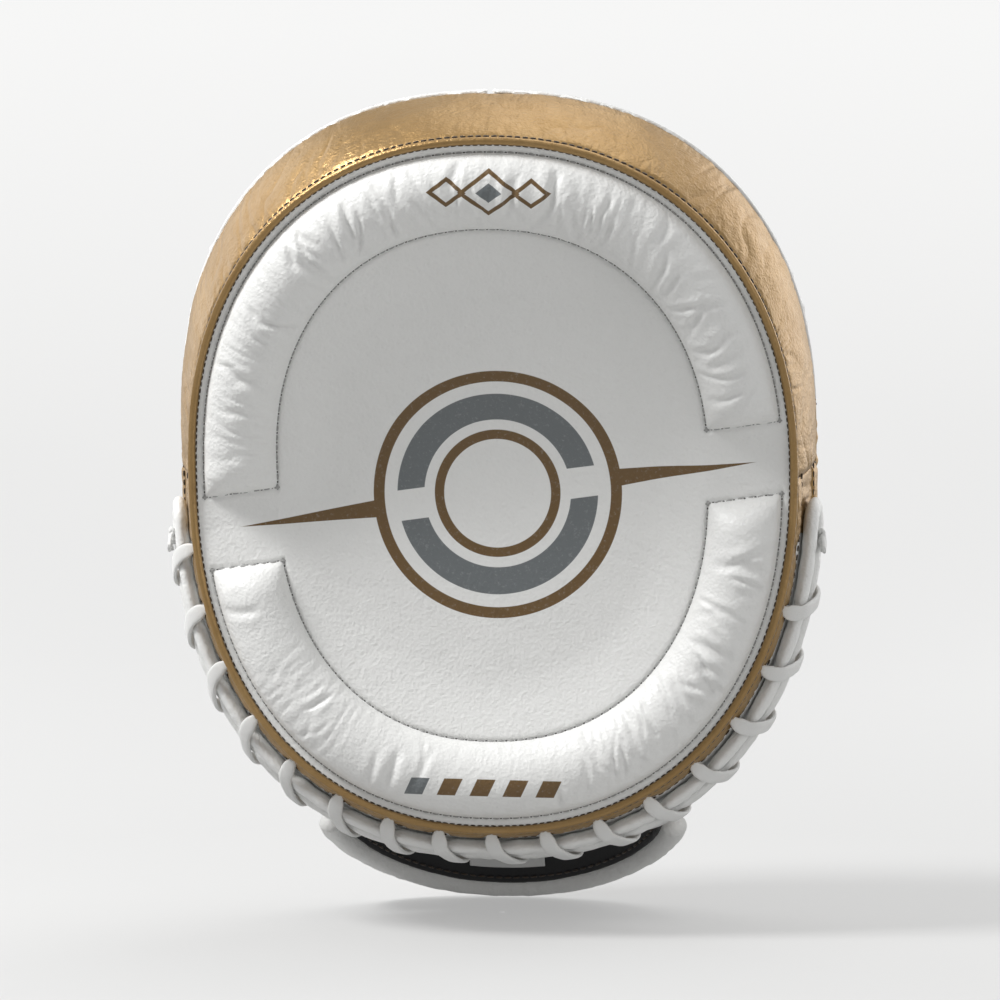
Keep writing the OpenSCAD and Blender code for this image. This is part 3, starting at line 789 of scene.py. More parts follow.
def cover_stitches():
    """Thread round both rolls, and dark beads of painted shade for its needle holes: two long lines, then the
    two ends along the gap.
    """
    for sign in (1, -1):
        inner, outer = roll_outline(sign)
        paths = [inner, outer]
        for k in (0, -1):
            edge = np.linspace(ROLL_IN, ROLL_OUT, 40)
            share = (ROLL_IN - edge) / (ROLL_IN - ROLL_OUT)
            paths.append(np.stack([lerp(inner[k, 0], outer[k, 0], share), edge], -1))
        for k, path in enumerate(paths):
            if k >= 2:
                fixed = []
                for deg0, edge in path:
                    d = np.linspace(deg0 - 6, deg0 + 6, 241)
                    u, v = face_uv(d, np.full_like(d, edge))
                    fixed.append(d[np.argmin(np.abs(sign * gap_line(u, v) - GAP_HALF))])
                path = np.stack([fixed, path[:, 1]], -1)
            pts, _, _ = cover_points(path[:, 0], path[:, 1])
            a = tilt(face_uv(path[:, 0], path[:, 1])[1])
            out = np.stack([0 * a, -np.cos(a), -np.sin(a)], -1)
            stitch("white", pts, out, 3.2, 2.1, 0.85, 0.5, 0.2, seed=k)
            # the holes are dark beads: painted shade at each needle hole
            holes(pts, out, 3.2, 0.38, lift=0.18)


cover_stitches()

# ---------- welt, side walls ----------
TURN = np.arange(0, 360, 0.5)


def rim_out(deg, d=16.0):
    """Outward direction of the side wall."""
    p, q = rim(deg, d, 0.0), rim(deg, d, 4.0)
    return unit(p - q)


def across_front(deg):
    """Direction out of the striking face at the rim."""
    v = outline(deg, 0.0)[1]
    a = tilt(v)
    return np.stack([0 * a, -np.cos(a), -np.sin(a)], -1)


def face_welt():
    """The thin gold welt between face and side wall, with its two rows of thread."""
    welt = rim(TURN, -0.5, 0.5)
    lump = 1 + 0.05 * noise(TURN / 1.3, 0 * TURN, 51)
    v1, f1 = sweep(welt, across_front(TURN), oval(1.25, 1.35, 12), True, lump)
    make("face_welt", v1, f1, GOLD, "pad", ["face_piping"])
    seam = rim(TURN, 1.35, -0.1)
    stitch("dark", seam, rim_out(TURN, 1.0) + across_front(TURN) * 0.5, 2.4, 1.9, 0.6, 0.35, closed=True,
           seed=9)
    seam2 = rim(TURN, -0.1, 2.0)
    stitch("dark", seam2, across_front(TURN), 2.2, 1.7, 0.45, 0.3, closed=True, seed=10)


face_welt()


def wall_relief(arc, s, deg):
    """Outward relief of the gold side wall; s runs from the face to the back."""
    ends = np.exp(-(np.minimum(s, 1 - s) / 0.16) ** 2)
    warp = 4 * noise(arc / 21, s * 1.5, 61)
    h = 1.5 * np.sin(np.pi * np.clip(s, 0, 1)) ** 0.8
    patches = smooth(noise(arc / 30, s, 63) * 1.3 + 0.4)
    h -= 0.5 * (1 - ridged((arc + warp + 9 * s) / 6.0, s * 1.6, 62)) * patches
    h -= 0.28 * (1 - ridged((arc + warp) / 2.6, s * 2.4, 64)) * (0.35 + ends)
    h += 0.4 * fbm(arc / 13, s * 2.2, 65)
    to_seam = np.minimum(np.abs(deg - 0), np.abs(deg - 180))
    near_seam = np.exp(-(to_seam / 5.0) ** 2)
    h -= 0.9 * near_seam * (1 - ridged((s * 33 + 0.5 * arc) / 5.5, arc / 14, 66)) * 0.7
    h -= 1.1 * np.exp(-(to_seam / 0.55) ** 2)
    return h


def upper_wall():
    """The wide gold wall from the bend over the top."""
    deg = np.linspace(0, 180, 640)
    s = np.linspace(0, 1, 52)
    S, D = np.meshgrid(s, deg, indexing="ij")
    arc = along(rim(deg, 16))[None, :] * np.ones_like(S)
    h = wall_relief(arc, S, D)
    edge = np.minimum(S, 1 - S)
    h = h * smooth(edge / 0.07) - 0.6 * (1 - smooth(edge / 0.05))
    p = rim(D, lerp(0.9, DEPTH - 0.8, S), 0) + rim_out(D, 16) * h[..., None]
    v, f = shell(p, 1.5, rim_out(D, 16))
    make("upper_side_wall", v, f, GOLD, "pad", ["upper_gusset"])


upper_wall()

LACE_A, LACE_B, PASSES = 191.0, 349.0, 16
STEP = (LACE_B - LACE_A) / PASSES
FRONT_EYES = LACE_A + STEP * np.arange(PASSES + 1)
BACK_EYES = LACE_A + STEP * (np.arange(PASSES) + 0.46)


def strip(name, node, d0, d1, eye_d, eyes, seam_at):
    """A narrow gold wall beside the lacing slit, drawn in and puckered round each lace hole."""
    deg = np.linspace(180, 360, 760)
    s = np.linspace(0, 1, 20)
    S, D = np.meshgrid(s, deg, indexing="ij")
    arc = along(rim(deg, 16))[None, :] * np.ones_like(S)
    depth = lerp(d0, d1, S)
    h = 0.9 * np.sin(np.pi * S) ** 0.6
    pull = np.zeros_like(h)
    fan = np.zeros_like(h)
    for e in eyes:
        da = (D - e) * 1.95
        dd = depth - eye_d
        r2 = da**2 + dd**2
        pull += np.exp(-r2 / 7.0)
        fan += np.cos(np.arctan2(dd, da) * 7 + e) * np.exp(-r2 / 22.0)
    h -= 1.3 * np.clip(pull, 0, 1) + 0.22 * fan
    h -= 0.35 * (1 - ridged((arc + 3 * noise(arc / 15, S, 71)) / 3.4, S * 1.4, 72 + int(d0)))
    h += 0.3 * fbm(arc / 10, S * 2, 75)
    edge = np.minimum(S, 1 - S)
    h = h * smooth(edge / 0.16) - 0.5 * (1 - smooth(edge / 0.1))
    near_seam = np.exp(-(np.minimum(np.abs(D - 180), np.abs(D - 360)) / 0.55) ** 2)
    h -= 0.9 * near_seam
    p = rim(D, depth, 0) + rim_out(D, 16) * h[..., None]
    v, f = shell(p, 1.4, rim_out(D, 16))
    make(name, v, f, GOLD, "pad", [node])
    line = rim(deg, seam_at, 0) + rim_out(deg, 16) * 0.25
    stitch("dark", line, rim_out(deg), 2.9, 2.1, 0.6, 0.35, seed=int(d0) + 3)


strip("lower_wall_front", "lower_gusset_front", 0.9, 8.4, 5.6, FRONT_EYES, 7.5)
strip("lower_wall_back", "lower_gusset_back", 25.6, DEPTH + 0.1, 28.8, BACK_EYES, 26.5)
for k in (0, 180):
    line = rim(np.full(30, float(k)), np.linspace(2.2, DEPTH - 1.2, 30), 0.4)
    stitch("dark", line, rim_out(np.full(30, float(k))), 2.6, 2.0, 0.6, 0.35, seed=20 + k)


def slit_ends():
    """Gold leather closing the lacing slit at its two ends."""
    for name, lo_deg, hi_deg in (("slit_end_near", 351.6, 359.6), ("slit_end_far", 180.4, 188.4)):
        S, D = np.meshgrid(np.linspace(0, 1, 20), np.linspace(lo_deg, hi_deg, 40), indexing="ij")
        h = 0.15 * np.sin(np.pi * S) - 0.4 * (1 - ridged(D * 0.9, S * 3, 91)) + 0.2 * fbm(D / 3, S * 3, 92)
        v, f = shell(rim(D, lerp(7.6, 26.4, S), 0.1) + rim_out(D, 16) * h[..., None], 1.4, rim_out(D, 16))
        make(name, v, f, GOLD, "pad")


slit_ends()


def tongue():
    """The white tongue under the slit."""
    deg = np.linspace(185, 355, 400)
    S, D = np.meshgrid(np.linspace(0, 1, 10), deg, indexing="ij")
    arc = along(rim(deg, 16))[None, :] * np.ones_like(S)
    p = rim(D, lerp(8.6, 25.4, S), 0.3) + rim_out(D) * (0.4 * fbm(arc / 6, S * 2, 81))[..., None]
    v, f = shell(p, 1.2, rim_out(D))
    make("lace_tongue_leather", v, f, WHITE, "pad", ["lace_tongue"])


tongue()


CORD_R, CORD_FLAT = 3.9, 0.6
CORD_DEPTHS = (12.75, 21.25)


def cords():
    """The two padded cords on the tongue, joined at their ends."""
    count, start, end, end_turn = 520, 187.2, 352.8, 2.1
    straight = np.linspace(start, end, count)
    turn = np.radians(np.linspace(-90, 90, 16))[1:-1]
    d_a, d_b = CORD_DEPTHS
    mid, half = (d_a + d_b) / 2, (d_b - d_a) / 2
    deg_path = np.concatenate([straight, end + np.cos(turn) * end_turn,
                               straight[::-1], start - np.cos(turn) * end_turn])
    d_path = np.concatenate([np.full(count, d_a), mid + half * np.sin(turn),
                             np.full(count, d_b), mid - half * np.sin(turn)])
    squeeze = np.ones_like(deg_path)
    for k in range(PASSES):
        for dd, share in ((d_a, 0.14), (d_b, 0.34)):
            c = LACE_A + STEP * (k + share)
            squeeze -= 0.2 * np.exp(-(((deg_path - c) / 1.1) ** 2)) * (np.abs(d_path - dd) < 1)
    squeeze += 0.05 * noise(deg_path / 1.4, d_path, 82)
    path = rim(deg_path, d_path, -CORD_R * CORD_FLAT - 0.3)
    v, f = sweep(path, rim_out(deg_path), oval(CORD_R, CORD_R * CORD_FLAT, 18), True,
                 np.stack([squeeze, squeeze**1.5], -1))
    make("tongue_cords", v, f, WHITE, "pad", ["tongue_welts"])


cords()


def lace_path():
    """The lace's path; each pass goes out of a front eyelet, over both cords, in at the back and under."""
    over = -2 * CORD_R * CORD_FLAT - 1.2
    # share of a pass, depth behind the face, inset from the wall
    stops = [[0, 5.6, 1.8], [0, 5.8, -1.4], [0.05, 8.0, over + 1.4], [0.13, 11.0, over + 0.1],
             [0.23, 16.8, over - 0.2], [0.33, 22.4, over + 0.1], [0.41, 26.0, over + 1.8],
             [0.46, 28.6, -1.4], [0.46, 28.8, 1.8], [0.55, 25.5, 3.4], [0.92, 9.5, 3.4]]
    rows = [[LACE_A + STEP * (k + q[0]), q[1], q[2]] for k in range(PASSES) for q in stops]
    rows = spline(np.array(rows), 6)
    j = np.clip(noise(rows[:, 0] / 7, rows[:, 1] / 30, 83), -1, 1)
    p = rim(rows[:, 0] + 0.35 * j, rows[:, 1], rows[:, 2])
    along_rim = rim(rows[:, 0] + 1, rows[:, 1], rows[:, 2]) - rim(rows[:, 0] - 1, rows[:, 1], rows[:, 2])
    return p, unit(along_rim), rows


def lace():
    """One flat lace wound round both cords and through the eyelets."""
    p, wide, rows = lace_path()
    t = unit(np.gradient(p, axis=0))
    wide = unit(wide - (wide * t).sum(-1, keepdims=True) * t)
    high = np.cross(t, wide)
    at_hole = np.exp(-((rows[:, 2] - 0.3) / 1.6) ** 2)
    narrow = 1 - 0.38 * at_hole + 0.06 * noise(rows[:, 0] / 1.2, rows[:, 1], 85)
    section = oval(2.45, 0.72, 14, 3.2)
    v, f = sweep(p, high, section, False, np.stack([narrow, np.ones_like(narrow)], -1))
    make("lace_band", v, f, LACE, "pad", ["lace"])


lace()


def knot(deg0, sign):
    """A half hitch with two short tails, at one end of the slit."""
    t = np.linspace(0, 2 * math.pi, 60, endpoint=False)
    u = np.stack([2.6 * np.sin(t) + 1.1 * np.sin(2 * t), 2.4 * np.cos(t) - 0.9 * np.cos(2 * t),
                  0.9 * np.sin(3 * t)], -1) * 0.6
    at = rim(np.array(deg0), 17.0, -2 * CORD_R * CORD_FLAT - 0.8)
    out = rim_out(np.array(deg0))
    side = unit(rim(np.array(deg0 + 1), 17.0) - rim(np.array(deg0 - 1), 17.0))
    back = np.cross(out, side)
    pts = at + u[:, :1] * side + u[:, 1:2] * back + u[:, 2:] * out
    parts = [sweep(pts, out, oval(1.0, 0.6, 10, 2.6), True)]
    for k, lean in ((0, 0.5), (1, -0.35)):
        s = np.linspace(0, 1, 14)[:, None]
        lift = out * (0.3 + 0.6 * np.sin(s * 1.9))
        tail = at + lift + side * (-sign) * s * 4 + back * (lean * 6 * s + 1.2 * k)
        parts.append(sweep(tail, out + 0.3 * back, oval(2.0, 0.65, 12, 3.0)))
    return merge(parts)


v, f = merge([knot(188.6, -1), knot(351.4, 1)])
make("lace_end_knots", v, f, LACE, "pad", ["lace_knots"])

# ---------- hood ----------
HOOD_RISE, RIM_ANGLE, HOOD_POWER, BAND_T = 50.0, -5.2, 2.3, 0.135
RIM_APEX = np.array([BACK_Y + HOOD_RISE, BEND_Z + 16])
BAND_APEX = RIM_APEX + np.array([-8.0, 21.0])
HOOD_TIP = rim(90.0, DEPTH)[1:]
HOOD_RUN = 165.0
HOOD_HEART = np.array([0, BACK_Y + 4, BEND_Z + 40])


def hood(s, t, inset=0.0, lift=0.4):
    """A point on the hood: s runs from the +X foot over the hand to the -X foot, t from rim to tip."""
    s, t = np.broadcast_arrays(np.asarray(s, float), np.asarray(t, float))
    foot = rim(lerp(RIM_ANGLE, 90, t), DEPTH + lift)
    k = t[..., None]
    apex = np.where(k < BAND_T, lerp(RIM_APEX, BAND_APEX, k / BAND_T),
                    lerp(BAND_APEX, HOOD_TIP, (k - BAND_T) / (1 - BAND_T)))
    lean = apex - foot[..., 1:]
    size = np.maximum(np.linalg.norm(lean, axis=-1), 1e-6)
    rise = np.clip((size - inset) / size, 0.02, 1)
    p = 2 / HOOD_POWER
    c, q = np.cos(np.pi * s), np.sin(np.pi * s)
    up = (rise * np.maximum(q, 0) ** p)[..., None]
    x = np.maximum(foot[..., 0] - inset, 0.05) * np.sign(c) * np.abs(c) ** p
    return np.concatenate([x[..., None], foot[..., 1:] + lean * up], -1)


def hood_grid(t0, t1, rows, cols, inset=0.0):
    """A grid of (s, t) and its points on the hood."""
    t = np.linspace(t0, t1, rows)
    s = 0.5 - 0.5 * np.cos(np.linspace(0.0, np.pi, cols)) * 0.997
    S, T = np.meshgrid(s, t)
    return S, T, hood(S, T, inset)


def hood_shell(name, t0, t1, rows, cols, inset, thick, mat, nodes, seed, pucker=1.0):
    """Leather over the hood between t0 and t1, gathered along its foot seams."""
    S, T, p = hood_grid(t0, t1, rows, cols, inset)
    n, _ = outward(p, p - HOOD_HEART)
    from_foot = along_foot(p)
    run = T * HOOD_RUN
    side = np.where(S < 0.5, 0.0, 40.0)
    g = noise(run / 2.9 + side, 0 * run, seed) + 0.5 * noise(run / 1.5 + side, 0 * run, seed + 1)
    h = pucker * 0.95 * g * np.exp(-(from_foot / 7.5) ** 1.3)
    streak = 1 - ridged((run + 5 * noise(run / 30, from_foot / 30, seed + 2) + 0.25 * from_foot) / 5.2 + side,
                        from_foot / 24, seed + 3)
    h -= pucker * 0.55 * streak * np.exp(-(from_foot / 26))
    h += 0.5 * fbm(p[..., 0] / 24, p[..., 2] / 24, seed + 4) * smooth(from_foot / 8)
    h -= 0.2 * (1 - ridged(p[..., 0] / 19 + 0.4 * noise(p[..., 2] / 15, p[..., 0] / 15, seed),
                           p[..., 2] / 6.5, seed + 5))
    for line in (t0, t1):
        h -= 0.9 * np.exp(-((T - line) * HOOD_RUN / 1.1) ** 2)
    h *= smooth(from_foot / 1.5)
    p = p + n * h[..., None]
    v, f = shell(p, thick, n)
    flat = np.zeros((len(v), 3))
    base = np.stack([p[..., 0], along_apex(T), from_foot], -1).reshape(-1, 3)
    flat[: len(base)] = base
    make(name, v, f, mat, "pad", nodes, flat)


def along_foot(p):
    """Distance of each grid point from the nearer foot."""
    d = np.linalg.norm(np.diff(p, axis=1), axis=-1)
    left = np.concatenate([np.zeros((len(p), 1)), np.cumsum(d, 1)], 1)
    return np.minimum(left, left[:, -1:] - left)


def along_apex(T):
    """Distance up the ridge from the gold band."""
    return (T - BAND_T) * 120


def hood_material():
    """White leather with plain slanted bars and diamonds."""
    m = white_leather("hood_leather", grain=1.2, depth=0.26, rough=0.46)
    hx, hz, hd = m.attribute()
    bars_y = hz - 14.0
    lean = hx * 1.0 - bars_y * 0.35
    row = lean.op("ADD", 90).op("MODULO", 15.0) - 7.5
    bars = row.abs().below(4.6, 0.2) * bars_y.abs().below(5.2, 0.2)
    bars = bars * lean.abs().below(30.0, 0.2) * hd.op("MULTIPLY", -1).below(-24, 0.2)
    m.mix(bars * 0.85, GREY)
    diamond = (hx.abs() - 66.0).abs() * 0.8 + (hz - 20.0).abs()
    m.mix(diamond.between(5.0, 7.0, 0.2) * 0.8, BROWN)
    return m


HOOD_MAT = hood_material()


hood_cols = 460
hood_shell("finger_hood_leather", BAND_T + 0.002, 0.992, 190, hood_cols, 0, 1.5, HOOD_MAT,
           ["finger_hood"], 101)
hood_shell("hood_trim_band", 0.012, BAND_T + 0.001, 40, hood_cols, 0.1, 1.5, GOLD,
           ["hood_band"], 111, 0.8)


def hood_lining():
    """The hood's loose inner lining."""
    _, _, p = hood_grid(0.004, 0.68, 40, 120, 3.6)
    n, _ = outward(p, p - HOOD_HEART)
    p = p + n * (0.5 * fbm(p[..., 0] / 16, p[..., 2] / 16, 121))[..., None]
    v, f = shell(p, 1.2, n)
    make("hood_inner_lining", v, f, LINING, "pad", ["hood_lining"])


hood_lining()


def hood_rim():
    """The rolled binding on the hood's rim, and the thread along the gold band."""
    s = 0.5 - 0.5 * np.cos(np.linspace(0.0, np.pi, 420)) * 0.998
    centre = hood(s, -0.001 + 0 * s, 1.7)
    lead = unit(hood(s, 0.0 * s + 0.06, 1.7) - hood(s, 0 * s, 1.7))
    roll = 1 + 0.06 * noise(s * 60, 0 * s, 131) + 0.04 * noise(s * 150, 0 * s, 132)
    v, f = sweep(centre, lead, oval(2.3, 2.7, 16, 2.3), False, roll)
    make("hood_rim_binding", v, f, WHITE, "pad", ["hood_binding"])
    ss = np.linspace(0.012, 0.988, 500)
    hood_out = unit(hood(ss, 0 * ss + 0.05, 0) - hood(ss, 0 * ss + 0.05, 3))
    stitch("white", hood(ss, 0 * ss + 0.011, -0.1), hood_out, 2.9, 2.0, 0.6, 0.35, seed=31)
    stitch("dark", hood(ss, 0 * ss + BAND_T - 0.008, 0.1), hood_out, 2.9, 2.0, 0.6, 0.35, seed=32)
    stitch("dark", hood(ss, 0 * ss + 0.022, 0.1), hood_out, 2.9, 2.0, 0.6, 0.35, seed=33)


hood_rim()


# ---------- palm side ----------
def back_panel():
    """The leather on the hand's side of the pad, lower where the hood covers it."""
    cols = 300
    deg = np.arange(cols) * 360 / cols
    shares = np.concatenate([np.linspace(0, 0.12, 10), np.linspace(0.15, 0.97, 44)])
    rows = []
    for k in shares:
        u, v = outline(deg, DEPTH, 1.7)
        u, v = u * (1 - k), v * (1 - k)
        h = 0.55 * fbm(u / 18, v / 18, 141) - 0.25 * (1 - ridged(u / 8, v / 20, 142))
        h -= 1.4 * (1 - smooth(k / 0.05))
        h -= 1.9 * smooth((v - 62) / 22)
        rows.append(place(u, v, DEPTH - 1.1 + h))
    p = np.array(rows)
    v = np.vstack([p.reshape(-1, 3), place(0, 0, DEPTH - 1.1)[None],
                   place(*outline(deg, DEPTH, 1.7), DEPTH - 3.0)])
    n = len(shares) * cols
    f = grid_faces(len(shares), cols, True)[:, ::-1].tolist()
    f += [[n - cols + (k + 1) % cols, n - cols + k, n] for k in range(cols)]
    f += [[k, (k + 1) % cols, n + 1 + (k + 1) % cols, n + 1 + k] for k in range(cols)]
    make("palm_panel", v, f, WHITE, "pad", ["back_panel"])


back_panel()


def dome(name, node, cx, cz, ra, rb, rise, mat, seed, power=2.0, base=0.1):
    """A padded dome sewn on the pad's back."""
    cols, rows = 96, 26
    t = np.radians(np.arange(cols) * 360 / cols)
    r = np.linspace(1, 0.02, rows)
    R, A = np.meshgrid(r, t, indexing="ij")
    x = cx + ra * R * np.sign(np.cos(A)) * np.abs(np.cos(A)) ** (2 / power)
    z = cz + rb * R * np.sign(np.sin(A)) * np.abs(np.sin(A)) ** (2 / power)
    y = BACK_Y + base + rise * (1 - R**2.6) ** 0.62
    wear = 0.35 * fbm(x / 9, z / 9, seed) - 0.25 * (1 - ridged(A * ra / 5.5, R * 2, seed + 1)) * R
    y = y + wear * smooth((1 - R) * 6)
    p = np.stack([x, y, z], -1)
    n = rows * cols
    v = np.vstack([p.reshape(-1, 3), [[cx, y[-1].mean(), cz]]])
    f = grid_faces(rows, cols, True).tolist()
    f += [[n - cols + k, n - cols + (k + 1) % cols, n] for k in range(cols)]
    f += [list(range(cols))[::-1]]
    make(name, v, f, mat, "pad", [node])
    edge = p[1] + np.array([0, 0.3, 0])
    stitch("white", edge, np.array([0, 1, 0.0]), 3.0, 2.1, 0.6, 0.35, closed=True, seed=seed)


dome("palm_grip_dome", "palm_ball", 0, BEND_Z - 32, 26, 26, 9.2, WHITE, 151)
dome("heel_cushion", "heel_pad", 0, -41.2, 57, 9.0, 10.6, WHITE, 161, 2.6)


def dorsal(s, t, inset):
    """A point on the curved back-of-hand panel: s across the hand, t up it."""
    half, sag = 33.0, 13.5
    r = (half**2 + sag**2) / (2 * sag)
    a = np.arcsin(half / r) * (1 - 2 * s)
    y = BACK_Y + 27 + sag - r + (r - inset) * np.cos(a)
    return np.stack([(r - inset) * np.sin(a), y, lerp(-HALF_STRAP - 1.0, BEND_Z + 20, t)], -1)


def back_of_hand():
    """Panel, padding and lining over the back of the hand, and their bound edges."""
    S, T = np.meshgrid(np.linspace(0, 1, 90), np.linspace(0, 1, 150))
    for name, node, inset, thick, mat, slot, seed in (
            ("back_of_hand_panel", ["dorsal_panel"], 0.0, 1.3, GOLD, "gold_leather", 171),
            ("back_of_hand_padding", ["dorsal_foam"], 1.6, 2.1, FOAM, "foam", 172),
            ("back_of_hand_lining", ["dorsal_lining"], 3.9, 1.0, LINING, "lining", 173)):
        p = dorsal(S, T, inset)
        arc, z = S * 74, T * 119
        fold = ridged(z / 7 + 0.3 * noise(arc / 9, z / 9, seed), arc / 22, seed + 5)
        h = 0.5 * fbm(arc / 15, z / 15, seed) - 0.4 * (1 - fold)
        h = h * (1.0 if inset == 0 else 0.25) - 0.5 * (1 - smooth(np.minimum(S, 1 - S) * 40))
        n, _ = outward(p, np.array([0, 1.0, 0]))
        v, f = shell(p + n * h[..., None], thick, n)
        make(name, v, f, mat, "pad", node)
    for side in (0.0, 1.0):
        across, up = np.full(120, abs(side - 0.035)), np.linspace(0, 1, 120)
        line = dorsal(across, up, -0.15)
        stitch("dark", line, unit(dorsal(across, up, -2) - line), 2.9, seed=40)
        edge = dorsal(np.full(160, side), np.linspace(0.003, 0.997, 160), 2.2)
        v, f = sweep(edge, np.array([0, 1.0, 0]), oval(1.5, 2.7, 12, 2.4), False,
                     1 + 0.05 * noise(np.arange(160) / 4, 0, 44))
        make("back_of_hand_binding_%d" % side, v, f, WHITE, "pad")


back_of_hand()


def soft_wall(name, node, side, far_y, top, bottom, foot_x, head_x, seed):
    """A soft wall between the pad and the back-of-hand panel, with loose folds."""
    s, t = np.linspace(0, 1, 46), np.linspace(0, 1, 90)
    S, T = np.meshgrid(s, t)
    z = lerp(bottom, top, T)
    curve = 2.5 * np.sin(np.pi * S)
    fold = 1.1 * fbm(z / 17 + 2, S * 1.7, seed) + 0.8 * (1 - ridged(z / 13, S * 1.2, seed + 1))
    x = side * (lerp(foot_x, head_x, S) + curve + (fold - 0.7) * np.sin(np.pi * S))
    y = lerp(BACK_Y + 0.4, far_y, S)
    p = np.stack([x, y, z], -1)
    v, f = shell(p, 1.3, np.array([side, 0.0, 0]))
    make(name, v, f, SUEDE, "pad", [node])


soft_wall("near_side_wall", "side_wall_near", 1, BACK_Y + 10.2, BEND_Z - 4, HALF_STRAP + 3.5,
          TUNNEL_HALF - 4, TUNNEL_HALF - 8, 181)
soft_wall("far_side_wall", "side_wall_far", -1, BACK_Y + 26, BEND_Z + 8, -HALF_STRAP, TUNNEL_HALF - 5,
          33.6, 185)


def thumb():
    """A blind sleeve of smooth leather, open downwards."""
    x0, y0, z0 = TUNNEL_HALF - 10.5, BACK_Y + 19.5, HALF_STRAP + 2.5
    cols = 90
    # radius and height, from just inside the mouth to the closed tip
    prof = spline(np.array([[7.4, 3.0], [7.5, 0.2], [8.3, -0.4], [9.0, 0.6], [9.1, 12], [9.0, 26],
                            [8.7, 38], [7.4, 45.5], [4.6, 49.2], [1.6, 50.2], [0.15, 50.3]]), 9)
    t = np.radians(np.arange(cols) * 360 / cols)
    R, A = prof[:, 0][:, None], t[None, :]
    Z = prof[:, 1][:, None] + 0 * A
    fold = 1 - ridged(Z / 6.5 + 0.5 * np.sin(A), A * 1.1, 192)
    bump = 0.45 * fbm(A * 3, Z / 9, 191) - 0.45 * fold * smooth(R / 4)
    rr = np.maximum(R + bump * smooth((R - 0.5) / 2), 0.05)
    p = np.stack([x0 + rr * np.cos(A), y0 + rr * np.sin(A), z0 + Z], -1)
    f = grid_faces(len(prof), cols, True).tolist()
    n = len(prof) * cols
    f += [[n - cols + k for k in range(cols)]]
    bore = np.stack([x0 + 7.2 * np.cos(t), y0 + 7.2 * np.sin(t), np.full(cols, z0 + 40.0)], -1)
    v = np.vstack([p.reshape(-1, 3), bore])
    f += [[n + k, n + (k + 1) % cols, (k + 1) % cols, k] for k in range(cols)]
    f += [[n + k for k in range(cols)][::-1]]
    make("thumb_sleeve_leather", v, f, WHITE, "pad", ["thumb_sleeve"])
    ring = np.stack([x0 + 9.1 * np.cos(t), y0 + 9.1 * np.sin(t), np.full(cols, z0 + 2.6)], -1)
    stitch("white", ring, np.stack([np.cos(t), np.sin(t), 0 * t], -1), 2.8, 2.0, 0.55, 0.3, closed=True,
           seed=50)


thumb()

# ---------- strap ----------
RING_R = 2.4
RING_X, RING_Y = TUNNEL_HALF, BACK_Y + 24.5
TURN_Y = RING_Y + 14
STRAP_T = 1.8
INNER_X = RING_X - 4.25
OUTER_X = RING_X + 2.45
INNER_BACK = BACK_Y + TUNNEL
OUTER_BACK = INNER_BACK + STRAP_T + 2.5
NEAR_R, FAR_R = 7.5, 14.0
FLAP_X = OUTER_X - NEAR_R
FLAP_END = -34.0


def arc_pts(cx, cy, r, a0, a1, n=16):
    """Points on an arc, seen from above."""
    a = np.radians(np.linspace(a0, a1, n))
    return np.stack([cx + r * np.cos(a), cy + r * np.sin(a)], -1)


def plan(points, step=0.8):
    """An evenly spaced path, seen from above."""
    pts, _ = resample(np.asarray(points, float), step)
    return pts


def plan_out(path):
    """The right-hand side of a path, seen from above."""
    t = unit(np.gradient(path, axis=0))
    return np.stack([t[:, 1], -t[:, 0]], -1)


def ribbon(name, path, sign, thick, mat, nodes, body, seed, z0, z1, crown=0.5, wear=1.0, rows=46):
    """A strap ply. path is its outer line seen from above; sign says which way out is."""
    out = plan_out(path) * sign
    s = along(path)
    z = np.linspace(z0, z1, rows)
    Z, SS = np.meshgrid(z, s, indexing="ij")
    mid = (Z - (z0 + z1) / 2) / ((z1 - z0) / 2)
    h = crown * (1 - mid**4) - crown
    wear = wear * smooth(np.minimum(SS, s[-1] - SS) / 2.5)
    h += wear * (0.22 * fbm(SS / 12, Z / 12, seed) - 0.22 * (1 - ridged(SS / 7.5, Z / 15, seed + 1)))
    bend = np.abs(np.gradient(np.unwrap(np.arctan2(out[:, 1], out[:, 0])), s))
    h -= wear * 0.5 * np.clip(bend * 9, 0, 1)[None] * (1 - ridged(SS / 2.6, Z / 26, seed + 2))
    x = path[None, :, 0] + out[None, :, 0] * h
    y = path[None, :, 1] + out[None, :, 1] * h
    p = np.stack([x, y, Z], -1)
    v, f = shell(p, thick, np.stack([out[:, 0], out[:, 1], 0 * s], -1))
    return make(name, v, f, mat, body, nodes)


def at_height(path, sign, z):
    """A path from above lifted to one height, and its outward directions."""
    out = plan_out(path) * sign
    level = np.full(len(path), float(z))
    return np.stack([path[:, 0], path[:, 1], level], -1), np.stack([out[:, 0], out[:, 1], 0 * level], -1)


def strap_part(name, path, sign, edge_thick, node, body, thread_body, seed, thread_seed):
    """A white ply with its two gold bindings and their rows of thread."""
    pieces = [ribbon(name + "_ply", path, sign, 1.7, WHITE, [node], body, seed,
                     -HALF_STRAP + 5, HALF_STRAP - 5)]
    s = along(path)
    for k, z in enumerate((-EDGE_Z, EDGE_Z)):
        line, out = at_height(path, sign, z)
        lumps = 1 + 0.05 * noise(s / 5, 0 * s, seed + 4 + k)
        section = oval(EDGE_HALF, edge_thick / 2 + 0.25, 18, 3.0)
        v, f = sweep(line - out * (edge_thick / 2 - 0.15), out, section, False, lumps)
        pieces.append(make("%s_binding_%d" % (name, k), v, f, GOLD, body,
                           [node + "_edges"] if k == 0 else ()))
        line, out = at_height(path, sign, z - math.copysign(2.4, z))
        stitch("dark", line + out * 0.3, out, 2.9, 2.1, 0.6, 0.35, body=thread_body, seed=thread_seed + k)
    return pieces


EDGE_Z, EDGE_HALF = HALF_STRAP - 3.5, 3.6


